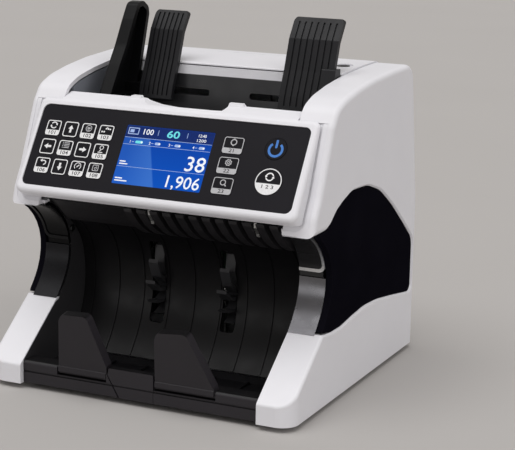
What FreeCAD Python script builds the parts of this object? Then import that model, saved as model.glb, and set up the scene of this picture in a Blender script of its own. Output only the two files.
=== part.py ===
import FreeCAD, Part
import math
import os
from FreeCAD import Vector as V, Rotation, Placement

# Desktop banknote counting machine.
# Model datum while drawing: X to the right, Y towards the back from the front
# bar's face, Z up from the underside of the base. Every piece is then shifted
# by datum_y and datum_z, so the finished origin is the middle of the footprint
# on the table, with the rubber feet standing at Z = 0.

doc = FreeCAD.newDocument("banknote_counter")
sheet = doc.addObject("Spreadsheet::Sheet", "Sizes")

SIZES = [
    ("datum_y", -114.955), ("datum_z", 4.0),
    ("half_width", 123.0), ("inner_edge", 96.0), ("skin", 3.2), ("edge_round", 4.0), ("arm_round", 2.5), ("arm_corner", 13.0), ("leaf_bevel", 1.3),
    ("plate_inner", 96.2), ("plate_thick", 2.5),
    ("leaf_panel_x", 112.4), ("leaf_panel_thick", 4.5), ("leaf_cover_thick", 4.9), ("strip_outer", 116.6),
    ("bezel_half", 113.4), ("bezel_proud", 0.8), ("bezel_round", 3.4), ("bezel_low", -38.2), ("bezel_top", 38.4),
    ("panel_mid_y", 37.75), ("panel_mid_z", 172.95), ("panel_tilt", 57.07),
    ("overlay_wide", 216.8), ("overlay_high", 65.2), ("overlay_thick", 1.6),
    ("lcd_wide", 70.8), ("lcd_high", 46.0), ("lcd_u", 0.4), ("lcd_v", -1.0),
    ("key_wide", 12.2), ("key_high", 12.4), ("key_pitch_u", 14.85), ("key_pitch_v", 15.1),
    ("key_first_u", -95.6), ("key_first_v", 13.8), ("key_depth", 4.5), ("key_proud", 0.35),
    ("side_key_wide", 15.8), ("side_key_high", 13.0), ("side_key_u", 52.2), ("side_key_v", 13.9), ("side_key_pitch", 15.55),
    ("power_u", 85.1), ("power_v", 14.4), ("power_round", 8.2),
    ("restart_u", 85.9), ("restart_v", -10.4), ("restart_round", 10.2), ("key_gap", 0.3),
    ("bar_half", 95.7), ("bar_deep", 15.0), ("bar_top", 17.0),
    ("bore_clear", 0.06), ("axle_round", 4.0),
    ("feed_y", 98.1), ("feed_z", 158.3), ("feed_roller_round", 19.0), ("feed_pulley", 12.0),
    ("carry_y", 82.0), ("carry_z", 127.0), ("carry_roller_round", 13.0), ("carry_pulley", 9.0),
    ("fan_y", 106.0), ("fan_z", 66.0), ("fan_round", 31.5), ("fan_pulley", 14.0),
    ("drive_y", 170.0), ("drive_z", 110.0), ("drive_pulley", 7.0),
    ("door_half", 95.6), ("door_skin", 2.6), ("door_axis_y", 228.5), ("door_axis_z", 66.0), ("door_pin", 2.2),
    ("knob_x", 82.8), ("knob_y", 172.5), ("knob_round", 4.9),
    ("foot_round", 9.0), ("foot_high", 4.0),
    ("plate_axis_y", 3.6), ("plate_axis_z", 14.2), ("plate_pin", 1.2),
    ("rest_thick", 4.0), ("guide_outer_x", -80.6), ("guide_inner_x", -70.2),
]
for row, (name, value) in enumerate(SIZES, start=1):
    sheet.set("A%d" % row, name)
    sheet.set("B%d" % row, repr(value))
    sheet.setAlias("B%d" % row, name)
doc.recompute()


def S(name):
    return float(getattr(sheet, name))


NODES = {}


def place(obj):
    """Shift a finished piece from the drawing datum to the part's own origin."""
    obj.setExpression("Placement.Base.y", "Sizes.datum_y")
    obj.setExpression("Placement.Base.z", "Sizes.datum_z")


def place_panel(obj):
    """Put a piece drawn flat on the panel plane onto the sloping control panel."""
    obj.Placement = Placement(V(0, 0, 0), Rotation(V(1, 0, 0), S("panel_tilt")))
    obj.setExpression("Placement.Base.y", "Sizes.datum_y + Sizes.panel_mid_y")
    obj.setExpression("Placement.Base.z", "Sizes.datum_z + Sizes.panel_mid_z")


def node(label, obj, panel=False):
    obj.Label = label
    if panel:
        place_panel(obj)
    else:
        place(obj)
    NODES[label] = obj
    return obj


# ---------------------------------------------------------------- 2-D helpers
def rounded(points):
    """Closed outline from (u, v, r) corners: straight runs joined by tangent arcs."""
    n = len(points)
    pts = [(p[0], p[1], p[2] if len(p) > 2 else 0.0) for p in points]
    starts, ends, arcs = [], [], []
    for i in range(n):
        p0, p1, p2 = pts[i - 1], pts[i], pts[(i + 1) % n]
        a = V(p0[0] - p1[0], p0[1] - p1[1], 0)
        b = V(p2[0] - p1[0], p2[1] - p1[1], 0)
        la, lb = a.Length, b.Length
        a.normalize()
        b.normalize()
        ang = math.acos(max(-1.0, min(1.0, a.dot(b))))
        r = p1[2]
        if r < 1e-6 or abs(math.pi - ang) < 0.004:
            q = V(p1[0], p1[1], 0)
            starts.append(q)
            ends.append(q)
            arcs.append(None)
            continue
        t = r / math.tan(ang / 2)
        lim = 0.48 * min(la, lb)
        if t > lim:
            t = lim
            r = t * math.tan(ang / 2)
        c = V(p1[0], p1[1], 0)
        s = c + a * t
        e = c + b * t
        bis = a + b
        bis.normalize()
        centre = c + bis * (r / math.sin(ang / 2))
        starts.append(s)
        ends.append(e)
        a0 = math.atan2(s.y - centre.y, s.x - centre.x)
        a1 = math.atan2(e.y - centre.y, e.x - centre.x)
        d = a1 - a0
        while d > math.pi:
            d -= 2 * math.pi
        while d < -math.pi:
            d += 2 * math.pi
        if d < 0:
            a0, a1 = a1, a0
        arcs.append((centre, r, a0, a1))
    geo = []
    for i in range(n):
        if arcs[i] is not None:
            centre, r, a0, a1 = arcs[i]
            if a1 < a0:
                a1 += 2 * math.pi
            geo.append(Part.ArcOfCircle(Part.Circle(centre, V(0, 0, 1), r), a0, a1))
        j = (i + 1) % n
        if (starts[j] - ends[i]).Length > 1e-5:
            geo.append(Part.LineSegment(ends[i], starts[j]))
    return geo


def offset_line(points, d):
    """Points of an open line moved d to its left-hand side."""
    out = []
    n = len(points)
    for i in range(n):
        p = V(points[i][0], points[i][1], 0)
        if i == 0:
            t = V(points[1][0], points[1][1], 0) - p
        elif i == n - 1:
            t = p - V(points[-2][0], points[-2][1], 0)
        else:
            a = p - V(points[i - 1][0], points[i - 1][1], 0)
            b = V(points[i + 1][0], points[i + 1][1], 0) - p
            a.normalize()
            b.normalize()
            t = a + b
            t.normalize()
            c = math.sqrt(max(0.2, (1 + a.dot(b)) / 2))
            out.append((p.x - t.y * d / c, p.y + t.x * d / c))
            continue
        t.normalize()
        out.append((p.x - t.y * d, p.y + t.x * d))
    return out


def spline(points):
    b = Part.BSplineCurve()
    b.interpolate([V(p[0], p[1], 0) for p in points])
    return b


def band(points, d0, d1):
    """Closed outline of a curved strip between two offsets of one smooth line."""
    a = offset_line(points, d0)
    b = offset_line(points, d1)
    return [spline(a), Part.LineSegment(V(a[-1][0], a[-1][1], 0), V(b[-1][0], b[-1][1], 0)),
            spline(b), Part.LineSegment(V(b[0][0], b[0][1], 0), V(a[0][0], a[0][1], 0))]


def rect(u0, v0, u1, v1, r=0.0):
    return rounded([(u0, v0, r), (u1, v0, r), (u1, v1, r), (u0, v1, r)])


def circle(u, v, r):
    return [Part.Circle(V(u, v, 0), V(0, 0, 1), r)]


def poly(pts, r=0.0):
    return rounded([(p[0], p[1], p[2] if len(p) > 2 else r) for p in pts])


def yz_solid(geo, x0, x1):
    """Solid from a (y, z) outline between two X positions, by Part's own functions."""
    edges = [g.toShape() for g in geo]
    wires = [Part.Wire(w) for w in Part.sortEdges(edges)]
    face = Part.makeFace(wires, "Part::FaceMakerBullseye")
    m = FreeCAD.Matrix(0, 0, 1, x0, 1, 0, 0, 0, 0, 1, 0, 0, 0, 0, 0, 1)
    face = face.transformed(m)
    return face.extrude(V(x1 - x0, 0, 0))


def yz_taper(geo0, x0, geo1, x1):
    """Tapered solid between a (y, z) outline at x0 and a like one at x1."""
    wires = []
    for geo, x in ((geo0, x0), (geo1, x1)):
        w = Part.Wire(Part.sortEdges([g.toShape() for g in geo])[0])
        wires.append(w.transformed(FreeCAD.Matrix(0, 0, 1, x, 1, 0, 0, 0, 0, 1, 0, 0, 0, 0, 0, 1)))
    return Part.makeLoft(wires, True, True)


def xz_solid(geo, y0, y1):
    edges = [g.toShape() for g in geo]
    wires = [Part.Wire(w) for w in Part.sortEdges(edges)]
    face = Part.makeFace(wires, "Part::FaceMakerBullseye")
    face.rotate(V(0, 0, 0), V(1, 0, 0), 90)
    face.translate(V(0, y0, 0))
    return face.extrude(V(0, y1 - y0, 0))


def xy_solid(geo, z0, z1):
    edges = [g.toShape() for g in geo]
    wires = [Part.Wire(w) for w in Part.sortEdges(edges)]
    face = Part.makeFace(wires, "Part::FaceMakerBullseye")
    face.translate(V(0, 0, z0))
    return face.extrude(V(0, 0, z1 - z0))


def xcyl(x0, x1, y, z, r):
    return Part.makeCylinder(r, abs(x1 - x0), V(min(x0, x1), y, z), V(1, 0, 0))


def one(shape):
    """Clean up a boolean's result."""
    try:
        s = shape.removeSplitter()
        if s.isValid():
            shape = s
    except Exception:
        pass
    if shape.ShapeType == "Compound" and len(shape.Solids) == 1:
        shape = shape.Solids[0]
    return shape


def feature(label, shape, panel=False):
    obj = doc.addObject("Part::Feature", label)
    obj.Shape = one(shape)
    return node(label, obj, panel)


def mirrored_x(shape):
    return shape.mirror(V(0, 0, 0), V(1, 0, 0))


# -------------------------------------------------------- PartDesign helpers
def body(label, panel=False):
    b = doc.addObject("PartDesign::Body", label)
    return node(label, b, panel)


def plane(b, role):
    for o in b.Origin.OriginFeatures:
        if o.Role == role:
            return o
    raise RuntimeError(role)


def sketch(b, name, role, geo, offset=0.0, expr=None):
    s = b.newObject("Sketcher::SketchObject", name)
    s.AttachmentSupport = [(plane(b, role), "")]
    s.MapMode = "FlatFace"
    if offset or expr:
        s.AttachmentOffset = Placement(V(0, 0, offset), Rotation())
    if expr:
        s.setExpression("AttachmentOffset.Base.z", expr)
    for g in geo:
        s.addGeometry(g, False)
    s.Visibility = False
    return s


def pad(b, name, sk, length, expr=None, reverse=False, mid=False):
    f = b.newObject("PartDesign::Pad", name)
    f.Profile = sk
    f.Length = length
    if mid:
        f.Midplane = True
    f.Reversed = reverse
    if expr:
        f.setExpression("Length", expr)
    doc.recompute()
    return f


def pocket(b, name, sk, length, expr=None, reverse=False, through=False, mid=False):
    before = b.Shape.Volume
    f = b.newObject("PartDesign::Pocket", name)
    f.Profile = sk
    if through:
        f.Type = "ThroughAll"
    f.Length = length
    if mid:
        f.Midplane = True
    f.Reversed = reverse
    if expr:
        f.setExpression("Length", expr)
    doc.recompute()
    if b.Shape.Volume > before - 1e-3:
        f.Reversed = not reverse
        doc.recompute()
    if b.Shape.Volume > before - 1e-3:
        raise RuntimeError("pocket cuts nothing: %s %s" % (b.Label, name))
    return f


def fillet(b, name, r, pick, expr=None):
    """PartDesign fillet on the edges of the body's tip that pick() accepts."""
    base = b.Tip
    names = []
    for i, e in enumerate(base.Shape.Edges, start=1):
        try:
            if pick(e):
                names.append("Edge%d" % i)
        except Exception:
            pass
    if not names:
        raise RuntimeError("no edges for fillet " + b.Label)
    f = b.newObject("PartDesign::Fillet", name)
    f.Base = (base, names)
    f.Radius = r
    if expr:
        f.setExpression("Radius", expr)
    doc.recompute()
    bad = ("Invalid" in f.State) or ("Error" in f.State) or f.Shape.isNull() or not f.Shape.isValid()
    if bad:
        b.removeObject(f)
        doc.removeObject(f.Name)
        b.Tip = base
        doc.recompute()
        print("fillet left out:", b.Label, name, r)
        return None
    return f


def on_level(axis, value, tol=1e-3):
    def pick(e):
        bb = e.BoundBox
        lo = (bb.XMin, bb.YMin, bb.ZMin)[axis]
        hi = (bb.XMax, bb.YMax, bb.ZMax)[axis]
        return abs(lo - value) < tol and abs(hi - value) < tol
    return pick


# ------------------------------------------------------------- main outlines
# Line of the curved face of the mouth's side strips, from the top down (y, z).
MOUTH = [(33.5, 128.2), (42.0, 124.6), (49.5, 119.6), (56.0, 113.6), (61.1, 107.0),
         (64.5, 99.8), (66.2, 92.5), (66.1, 85.0), (64.4, 77.5), (61.1, 70.2),
         (56.3, 63.2), (50.9, 57.0), (46.7, 52.6)]

# Outline of one white side shell, looking along X (y, z, corner radius).
FRONT_EDGE = [(27.2, 128.2, 0.0), (31.2, 141.5, 20.0), (38.7, 154.5, 40.0), (48.0, 176.0, 120.0),
              (58.8, 201.8, 12.0), (67.4, 213.2, 16.0)]
TOP_EDGE = [(82.0, 218.8, 60.0), (106.3, 223.0, 90.0), (135.1, 226.2, 150.0), (176.7, 228.2, 200.0)]
REAR_EDGE = [(219.0, 228.8, 15.0), (236.8, 118.0, 90.0), (236.8, 0.0, 0.0)]
ARM = [(-4.0, 0.0, 0.0), (-4.0, 14.8, 0.0), (48.6, 53.8, 0.0)]
LEDGE = [(66.0, 51.8, 20.0), (84.0, 51.6, 40.0), (107.0, 54.2, 60.0), (130.0, 56.0, 80.0), (156.0, 54.7, 80.0), (188.0, 50.2, 80.0)]
LEAF_REAR = [(231.0, 43.4, 6.0), (231.0, 87.6, 14.0)]
ARCH = [(211.0, 103.2, 50.0), (183.4, 123.6, 120.0), (157.0, 139.8, 70.0), (129.8, 148.4, 60.0),
        (98.5, 149.9, 40.0), (80.0, 144.8, 30.0), (68.5, 140.4, 25.0), (58.0, 133.0, 12.0), (50.0, 129.6, 12.0)]
SHELL = ARM + LEDGE + LEAF_REAR + ARCH + FRONT_EDGE + TOP_EDGE + REAR_EDGE


def inset(points, d):
    """Closed outline of (u, v, r) corners moved d inwards (outwards when d is negative)."""
    n = len(points)
    area = sum(points[i][0] * points[(i + 1) % n][1] - points[(i + 1) % n][0] * points[i][1] for i in range(n))
    turn = 1.0 if area > 0 else -1.0
    out = []
    for i in range(n):
        p0, p1, p2 = points[i - 1], points[i], points[(i + 1) % n]
        a = V(p1[0] - p0[0], p1[1] - p0[1], 0)
        b = V(p2[0] - p1[0], p2[1] - p1[1], 0)
        a.normalize()
        b.normalize()
        na = V(-a.y, a.x, 0) * turn
        nb = V(-b.y, b.x, 0) * turn
        m = na + nb
        m.normalize()
        k = max(0.3, m.dot(na))
        convex = (a.x * b.y - a.y * b.x) * turn > 0
        r = p1[2] if len(p1) > 2 else 0.0
        if r > 0:
            r = max(0.2, r - d) if convex else max(0.2, r + d)
        out.append((p1[0] + m.x * d / k, p1[1] + m.y * d / k, r))
    return out


def shell_shape(side):
    """One white side shell: a C-shaped tray, open towards the middle of the machine."""
    hw, xi, t = S("half_width"), S("inner_edge"), S("skin")
    solid = yz_solid(rounded(SHELL), xi, hw)

    def mid(e):
        return e.valueAt((e.FirstParameter + e.LastParameter) / 2)

    def on_outside(e):
        return e.BoundBox.XMin > hw - 1e-3

    def is_leaf(m):
        return 49.0 < m.y < 233.0 and 43.0 < m.z < 150.6 or (27.3 < m.y < 60.0 and 128.0 < m.z < 134.0 and m.z < 128.6 + (m.y - 27.2) * 0.16)

    def is_arm(m):
        return m.y < 48.5 and m.z < 54.0 and m.z > 0.1

    def is_outer(e):
        m = mid(e)
        return on_outside(e) and not is_leaf(m) and not is_arm(m) and m.z > 0.1

    def is_arm_corner(e):
        bb = e.BoundBox
        return on_outside(e) and bb.YMax < -3.9 and bb.ZMax - bb.ZMin > 10.0

    def is_arm_top(e):
        m = mid(e)
        rim = on_outside(e) or m.y < 10.0
        return rim and e.BoundBox.XMax > xi + 1.0 and is_arm(m) and abs(m.z - 14.8 - (m.y + 4.0) * 39.0 / 52.6) < 0.1

    for name, test, r0 in (("outer", is_outer, S("edge_round")), ("arm corner", is_arm_corner, S("arm_corner")), ("arm top", is_arm_top, S("arm_round"))):
        done = False
        for r in (r0, r0 * 0.85, r0 * 0.7, r0 * 0.5):
            picks = [e for e in solid.Edges if test(e)]
            try:
                f = solid.makeFillet(r, picks)
                if f.isValid() and not f.isNull() and f.Volume < solid.Volume:
                    solid = f
                    print("side shell", name, "edge radius", round(r, 2), "on", len(picks))
                    done = True
                    break
            except Exception:
                continue
        if not done:
            print("side shell", name, "edge left sharp")
    # bevel round the opening for the side panel
    lb = S("leaf_bevel")
    leaf = [(48.6, 53.8, 0.0)] + LEDGE + LEAF_REAR + ARCH + [(27.2, 128.2, 0.0)]
    bevel = yz_taper(rounded(inset(leaf, 0.5)), hw - lb - 0.5, rounded(inset(leaf, -lb)), hw)
    before = solid.Volume
    cut = solid.cut(bevel)
    if cut.isValid() and 0.9 * before < cut.Volume < before - 1.0:
        solid = cut
        print("side shell bevel cut", round(before - cut.Volume, 1))
    else:
        print("side shell bevel left out")
    # the head's lower outer corner, rounded as seen from the front
    corner = xz_solid(rounded([(hw - 16.0, 120.0, 0), (hw + 3.0, 120.0, 0), (hw + 3.0, 140.0, 0), (hw, 140.0, 0), (hw, 128.2, 12.0), (hw - 16.0, 128.2, 0)]), 15.0, 60.0)
    solid = solid.cut(corner)
    # the lip stops short of the bezel's underside, with a rounded lower corner
    lip = xz_solid(rounded([(xi - 2, 120, 0), (xi + 6.0, 120, 0), (xi + 6.0, 128.2, 0), (xi + 2.6, 128.2, 3.4), (xi + 2.6, 136.6, 0), (xi - 2, 136.6, 0)]), 15.0, 33.0)
    solid = solid.cut(lip)
    # groove round the control bezel, with a shallow step outside it
    bh = S("bezel_half")
    ring = to_panel(xy_solid(rounded([(bh + 1.2, 38.0, 0), (bh + 1.2, S("bezel_low") - 1.2, 7.2), (60.0, S("bezel_low") - 1.2, 0), (60.0, 38.0, 0)]), -60.0, 10.0))
    face = [(p[0], p[1], p[2]) for p in FRONT_EDGE]
    near = inset(SHELL, 1.0)
    skin_band = yz_solid(rounded(SHELL), xi - 1, hw).cut(yz_solid(rounded(near), xi - 2, hw + 1))
    solid = solid.cut(ring.common(skin_band))
    step = to_panel(xy_solid(rounded([(bh + 4.8, 38.0, 0), (bh + 4.8, S("bezel_low") - 4.8, 9.0), (60.0, S("bezel_low") - 4.8, 0), (60.0, 38.0, 0)]), -60.0, 10.0))
    thin_band = yz_solid(rounded(SHELL), xi - 1, hw).cut(yz_solid(rounded(inset(SHELL, 0.35)), xi - 2, hw + 1))
    solid = solid.cut(step.common(thin_band))
    # hollow, in three depths, so that the skin stays even under the rounded edges
    outer_only = ARM[:2] + [(48.6, 53.8, 0), (66.0, 52.2, 0), (66.0, 136.0, 0), (50.0, 129.6, 0)] + FRONT_EDGE + TOP_EDGE + REAR_EDGE
    upper = ARCH + FRONT_EDGE + TOP_EDGE + REAR_EDGE[:2] + [(236.8, 101.0, 0)]
    lower = ARM + LEDGE + [(226.0, 44.4, 0), (236.8, 42.8, 0), (236.8, 0.0, 0)]
    deep = yz_solid(rounded(inset(outer_only, t)), xi - 2, S("leaf_panel_x") - 1.0)
    cuts = [deep]
    for region in (upper, lower):
        cuts.append(yz_solid(rounded(inset(region, t)), xi - 2, hw - 6.6))
        cuts.append(yz_solid(rounded(inset(region, 6.4)), xi - 2, hw - t))
    nose = Part.makeBox(60, 40, 60, V(xi - 20, -28.0, -1.0))
    tip = Part.makeBox(60, 40, 12, V(xi - 20, 0.0, 122.0))
    for c in cuts:
        solid = solid.cut(c.cut(nose))
    # window under the bezel for the end of the key board
    solid = solid.cut(to_panel(xy_solid(rect(-105.0, -28.0, 105.0, 28.0, 2.0), -14.0, 6.0)))
    # slot for the inner side frame where it passes the mouth's edge
    solid = solid.cut(yz_solid(rounded(inset(frame_outline(), -0.3)), xi - 1, S("plate_inner") + S("plate_thick") + 0.3))
    solid = one(solid)
    if solid.ShapeType == "Compound":
        print("side shell pieces", [round(q.Volume) for q in solid.Solids])
        solid = max(solid.Solids, key=lambda q: q.Volume)
    if side < 0:
        solid = mirrored_x(solid)
    return solid


def leaf_outline(gap):
    """Outline of the leaf-shaped side panel, a little inside the shell's opening."""
    front = offset_line(MOUTH, 3.7)
    pts = [(54.4, 54.2, 0.6)] + LEDGE + LEAF_REAR + ARCH[:-1] + [(52.0, 130.6, 4.0)]
    pts += [(p[0], p[1], 12.0) for p in front[2:-2]]
    return rounded(inset(pts, gap))


def cover_outline(gap):
    """Outline of the side panel's outer layer, whose front edge is the mouth's own curve."""
    pts = [(50.2, 54.6, 0.5)] + LEDGE + LEAF_REAR + ARCH + [(40.5, 128.6, 1.0)]
    pts += [(p[0], p[1], 12.0) for p in MOUTH[1:-1]]
    return rounded(inset(pts, gap))


def hollow_outline(wall):
    """Outline of the space behind the side panel's skin."""
    front = offset_line(MOUTH, 3.7)
    pts = [(54.4, 54.2, 0.6)] + LEDGE + LEAF_REAR + ARCH[:-1] + [(52.0, 130.6, 4.0)]
    pts += [(p[0], p[1], 12.0) for p in front[2:-2]]
    return rounded(inset(pts, wall))


def frame_outline():
    """Outline of the inner side frame: inside the shells, behind the mouth's strips."""
    back = offset_line(MOUTH, 3.4)
    pts = [(1.0, 3.6, 1.0), (1.0, 17.0, 1.0), (45.6, 50.1, 1.0), (50.4, 51.6, 1.0)]
    for p in reversed(back[1:-1]):
        pts.append((p[0], p[1], 12.0))
    pts += [(40.5, 129.2, 1.0), (37.5, 133.4, 1.0), (42.5, 136.4, 3.0), (50.0, 150.0, 20.0), (61.0, 180.0, 40.0), (67.0, 198.0, 4.0),
            (75.0, 200.0, 1.0), (75.0, 211.2, 3.0), (83.0, 214.4, 20.0), (106.9, 218.6, 60.0), (135.5, 221.8, 90.0),
            (176.8, 224.0, 90.0), (213.8, 223.8, 8.0), (231.2, 117.4, 90.0), (231.2, 3.6, 1.0)]
    return pts


def to_panel(shape):
    """Move a shape from the panel's flat frame onto the slope, in drawing coordinates."""
    s = shape.copy()
    s.Placement = Placement(V(0, S("panel_mid_y"), S("panel_mid_z")), Rotation(V(1, 0, 0), S("panel_tilt"))).multiply(s.Placement)
    return s


feature("side_shell_right", shell_shape(+1))
feature("side_shell_left", shell_shape(-1))

# ------------------------------------------------------- black leaf side panels
for side, label in ((1, "side_panel_right"), (-1, "side_panel_left")):
    b = body(label)
    x0, x1 = S("leaf_panel_x"), S("leaf_panel_x") + S("leaf_panel_thick")
    x2 = x1 + S("leaf_cover_thick")
    sign = "" if side > 0 else "-"
    sk = sketch(b, label + "_outline", "YZ_Plane", leaf_outline(0.35), side * x0, sign + "Sizes.leaf_panel_x")
    pad(b, label + "_plate", sk, S("leaf_panel_thick"), "Sizes.leaf_panel_thick", reverse=(side < 0))
    sk = sketch(b, label + "_cover_outline", "YZ_Plane", cover_outline(0.35), side * x1, sign + "(Sizes.leaf_panel_x + Sizes.leaf_panel_thick)")
    pad(b, label + "_cover", sk, S("leaf_cover_thick"), "Sizes.leaf_cover_thick", reverse=(side < 0))
    sk = sketch(b, label + "_hollow_outline", "YZ_Plane", hollow_outline(2.8), side * x0, sign + "Sizes.leaf_panel_x")
    pocket(b, label + "_hollow", sk, 7.0, reverse=(side > 0))
    if abs(b.Shape.BoundBox.XMax if side > 0 else -b.Shape.BoundBox.XMin) - x2 > 1e-3:
        raise RuntimeError("side panel thickness")
    fillet(b, label + "_rim", 0.5, on_level(0, side * x2))

# ------------------------------------------------------------ inner side frames
def frame_holes():
    c = S("bore_clear")
    a = S("axle_round") + c
    return [(S("feed_y"), S("feed_z"), a), (S("carry_y"), S("carry_z"), a), (S("fan_y"), S("fan_z"), a),
            (S("door_axis_y"), S("door_axis_z"), S("door_pin") + c)]


for side, label in ((1, "side_frame_right"), (-1, "side_frame_left")):
    b = body(label)
    x = side * S("plate_inner")
    e = "Sizes.plate_inner" if side > 0 else "-Sizes.plate_inner"
    sk = sketch(b, label + "_outline", "YZ_Plane", rounded(frame_outline()), x, e)
    pad(b, label + "_plate", sk, S("plate_thick"), "Sizes.plate_thick", reverse=(side < 0))
    geo = []
    for (y, z, r) in frame_holes():
        geo += circle(y, z, r)
    geo += circle(70.6, 103.2, 1.6)
    if side < 0:
        geo += circle(S("drive_y"), S("drive_z"), 5.0)
    # ventilation and weight-saving windows behind the transport
    geo += rect(120, 60, 150, 92, 6)
    geo += rect(184, 60, 214, 150, 6)
    sk2 = sketch(b, label + "_holes", "YZ_Plane", geo, x, e)
    pocket(b, label + "_bores", sk2, S("plate_thick") + 1, reverse=(side > 0), through=True)

# -------------------------------------------------- curved strips of the mouth
def strip_solid(z_lo, z_hi, d0, d1, x0, x1):
    s = yz_solid(band(MOUTH, d0, d1), x0, x1)
    box = Part.makeBox(x1 - x0 + 2, 80, z_hi - z_lo, V(min(x0, x1) - 1, 20, z_lo))
    # the lower end follows the slope of the arm it stands on
    arm = yz_solid(rounded([(-4.0, 15.2, 0), (60.0, 62.65, 0), (60.0, 0.0, 0), (-4.0, 0.0, 0)]), x0 - 1, x1 + 1)
    return s.common(box).cut(arm)


xo = S("strip_outer")
upper = strip_solid(91.2, 128.1, 0.5, 3.1, 96.2, xo - 2.2)
feature("mouth_strips_upper", Part.makeCompound([upper, mirrored_x(upper)]))
lower = strip_solid(52.6, 90.6, 0.0, 3.1, 96.2, xo)
feature("mouth_strips_lower", Part.makeCompound([lower, mirrored_x(lower)]))
ring = xz_solid(rounded([(80, 94.9, 0), (xo, 94.9, 5.5), (xo, 127.6, 0), (80, 127.6, 0)]) +
                rounded([(81, 97.4, 0), (xo - 2.0, 97.4, 3.8), (xo - 2.0, 127.1, 0), (81, 127.1, 0)]), 20, 90)
thin = strip_solid(94.0, 127.6, -0.35, 0.45, 96.2, xo).common(ring)
full = strip_solid(94.0, 127.6, -0.35, 3.1, xo - 1.95, xo).common(ring)
trim = one(thin.fuse(full))
feature("mouth_trims", Part.makeCompound([trim, mirrored_x(trim)]))

# ------------------------------------------------------------------- base pan
b = body("base_pan")
xh = S("bar_half")
section = [(15.6, 0.0, 0.5), (235.0, 0.0, 3.0), (235.0, 60.2, 0.3), (232.0, 58.2, 0.3), (232.0, 3.0, 2.0), (15.6, 3.0, 0.5)]
sk = sketch(b, "base_section", "YZ_Plane", rounded(section))
pad(b, "base_tray", sk, 2 * xh, "2 * Sizes.bar_half", mid=True)
sk = sketch(b, "base_posts", "XY_Plane", circle(-40, 145, 4) + circle(92, 142, 3.5) + circle(-40, 212, 4) + circle(92, 212, 3.5), 2.0)
pad(b, "base_post_pads", sk, 57.5)
sk = sketch(b, "base_inlet_hole", "XZ_Plane", rect(26.5, 17.8, 77.5, 42.2, 1.5), -229.0)
pocket(b, "base_inlet_cut", sk, 8.0)
vents = []
for i in range(9):
    vents += rect(-46.0 + i * 6.0, 20.0, -43.0 + i * 6.0, 42.0, 1.4)
sk = sketch(b, "base_vent_slots", "XZ_Plane", vents, -229.0)
pocket(b, "base_vents", sk, 8.0)
sk = sketch(b, "base_screw_holes", "XY_Plane", circle(-80, 60, 1.7) + circle(80, 60, 1.7) + circle(-80, 200, 1.7) + circle(80, 200, 1.7)
            + circle(0, 40, 1.7) + circle(0, 190, 1.7))
pocket(b, "base_screw_bores", sk, 10, through=True)

# ------------------------------------------------------ front bar and insert
section = [(0.0, 0.0, 1.0), (0.0, 8.4, 0.0), (0.9, 8.8, 0.0), (0.9, 9.6, 0.0), (0.0, 10.0, 0.0), (0.0, 15.6, 1.4),
           (1.6, 17.0, 1.0), (15.0, 17.0, 1.0), (15.0, 0.0, 0.5)]
bar = yz_solid(rounded(section), -xh, xh)
bar = bar.cut(xz_solid(rounded([(-15.0, -1, 0), (13.2, -1, 0), (13.2, 40, 0), (-39.0, 40, 0)]), -2, 2.3))
PLATES = [("stop_plate_left", [(-66.4, 14.0), (-61.8, 54.8, 5.0), (-59.0, 59.4, 3.0), (-38.4, 60.4, 5.0), (-25.3, 22.4, 1.2), (-26.0, 14.0)], -66.4, -26.0),
          ("stop_plate_right", [(13.6, 14.0), (16.4, 51.0, 5.0), (19.0, 56.4, 3.0), (41.8, 58.4, 5.0), (60.6, 19.0, 3.0), (62.2, 14.0)], 13.6, 62.2)]
ya, za, rp = S("plate_axis_y"), S("plate_axis_z"), S("plate_pin")
for (nm, outline, xl, xr) in PLATES:
    bar = bar.cut(Part.makeBox(xr - xl + 1.0, 10.8, 20, V(xl - 0.5, -1.5, 10.4)))
    bar = bar.cut(xcyl(xl - 3.2, xr + 3.2, ya, za, rp + S("bore_clear")))
feature("front_bar", bar)
centre = xz_solid(rounded([(-14.6, 0.3, 0.3), (12.9, 0.3, 0.3), (12.9, 21.6, 1.0), (-23.4, 21.6, 1.0), (-24.3, 16.6, 0.5)]), 0.0, 2.0)
centre = centre.fuse(xz_solid(rounded([(-24.2, 17.3, 0.3), (12.9, 17.3, 0.3), (12.9, 21.6, 1.0), (-23.4, 21.6, 1.0)]), 0.0, 6.0))
groove = Part.makeBox(40, 0.9, 1.2, V(-26, -0.05, 8.6))
centre = centre.cut(groove)
feature("bar_centre", centre)

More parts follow.
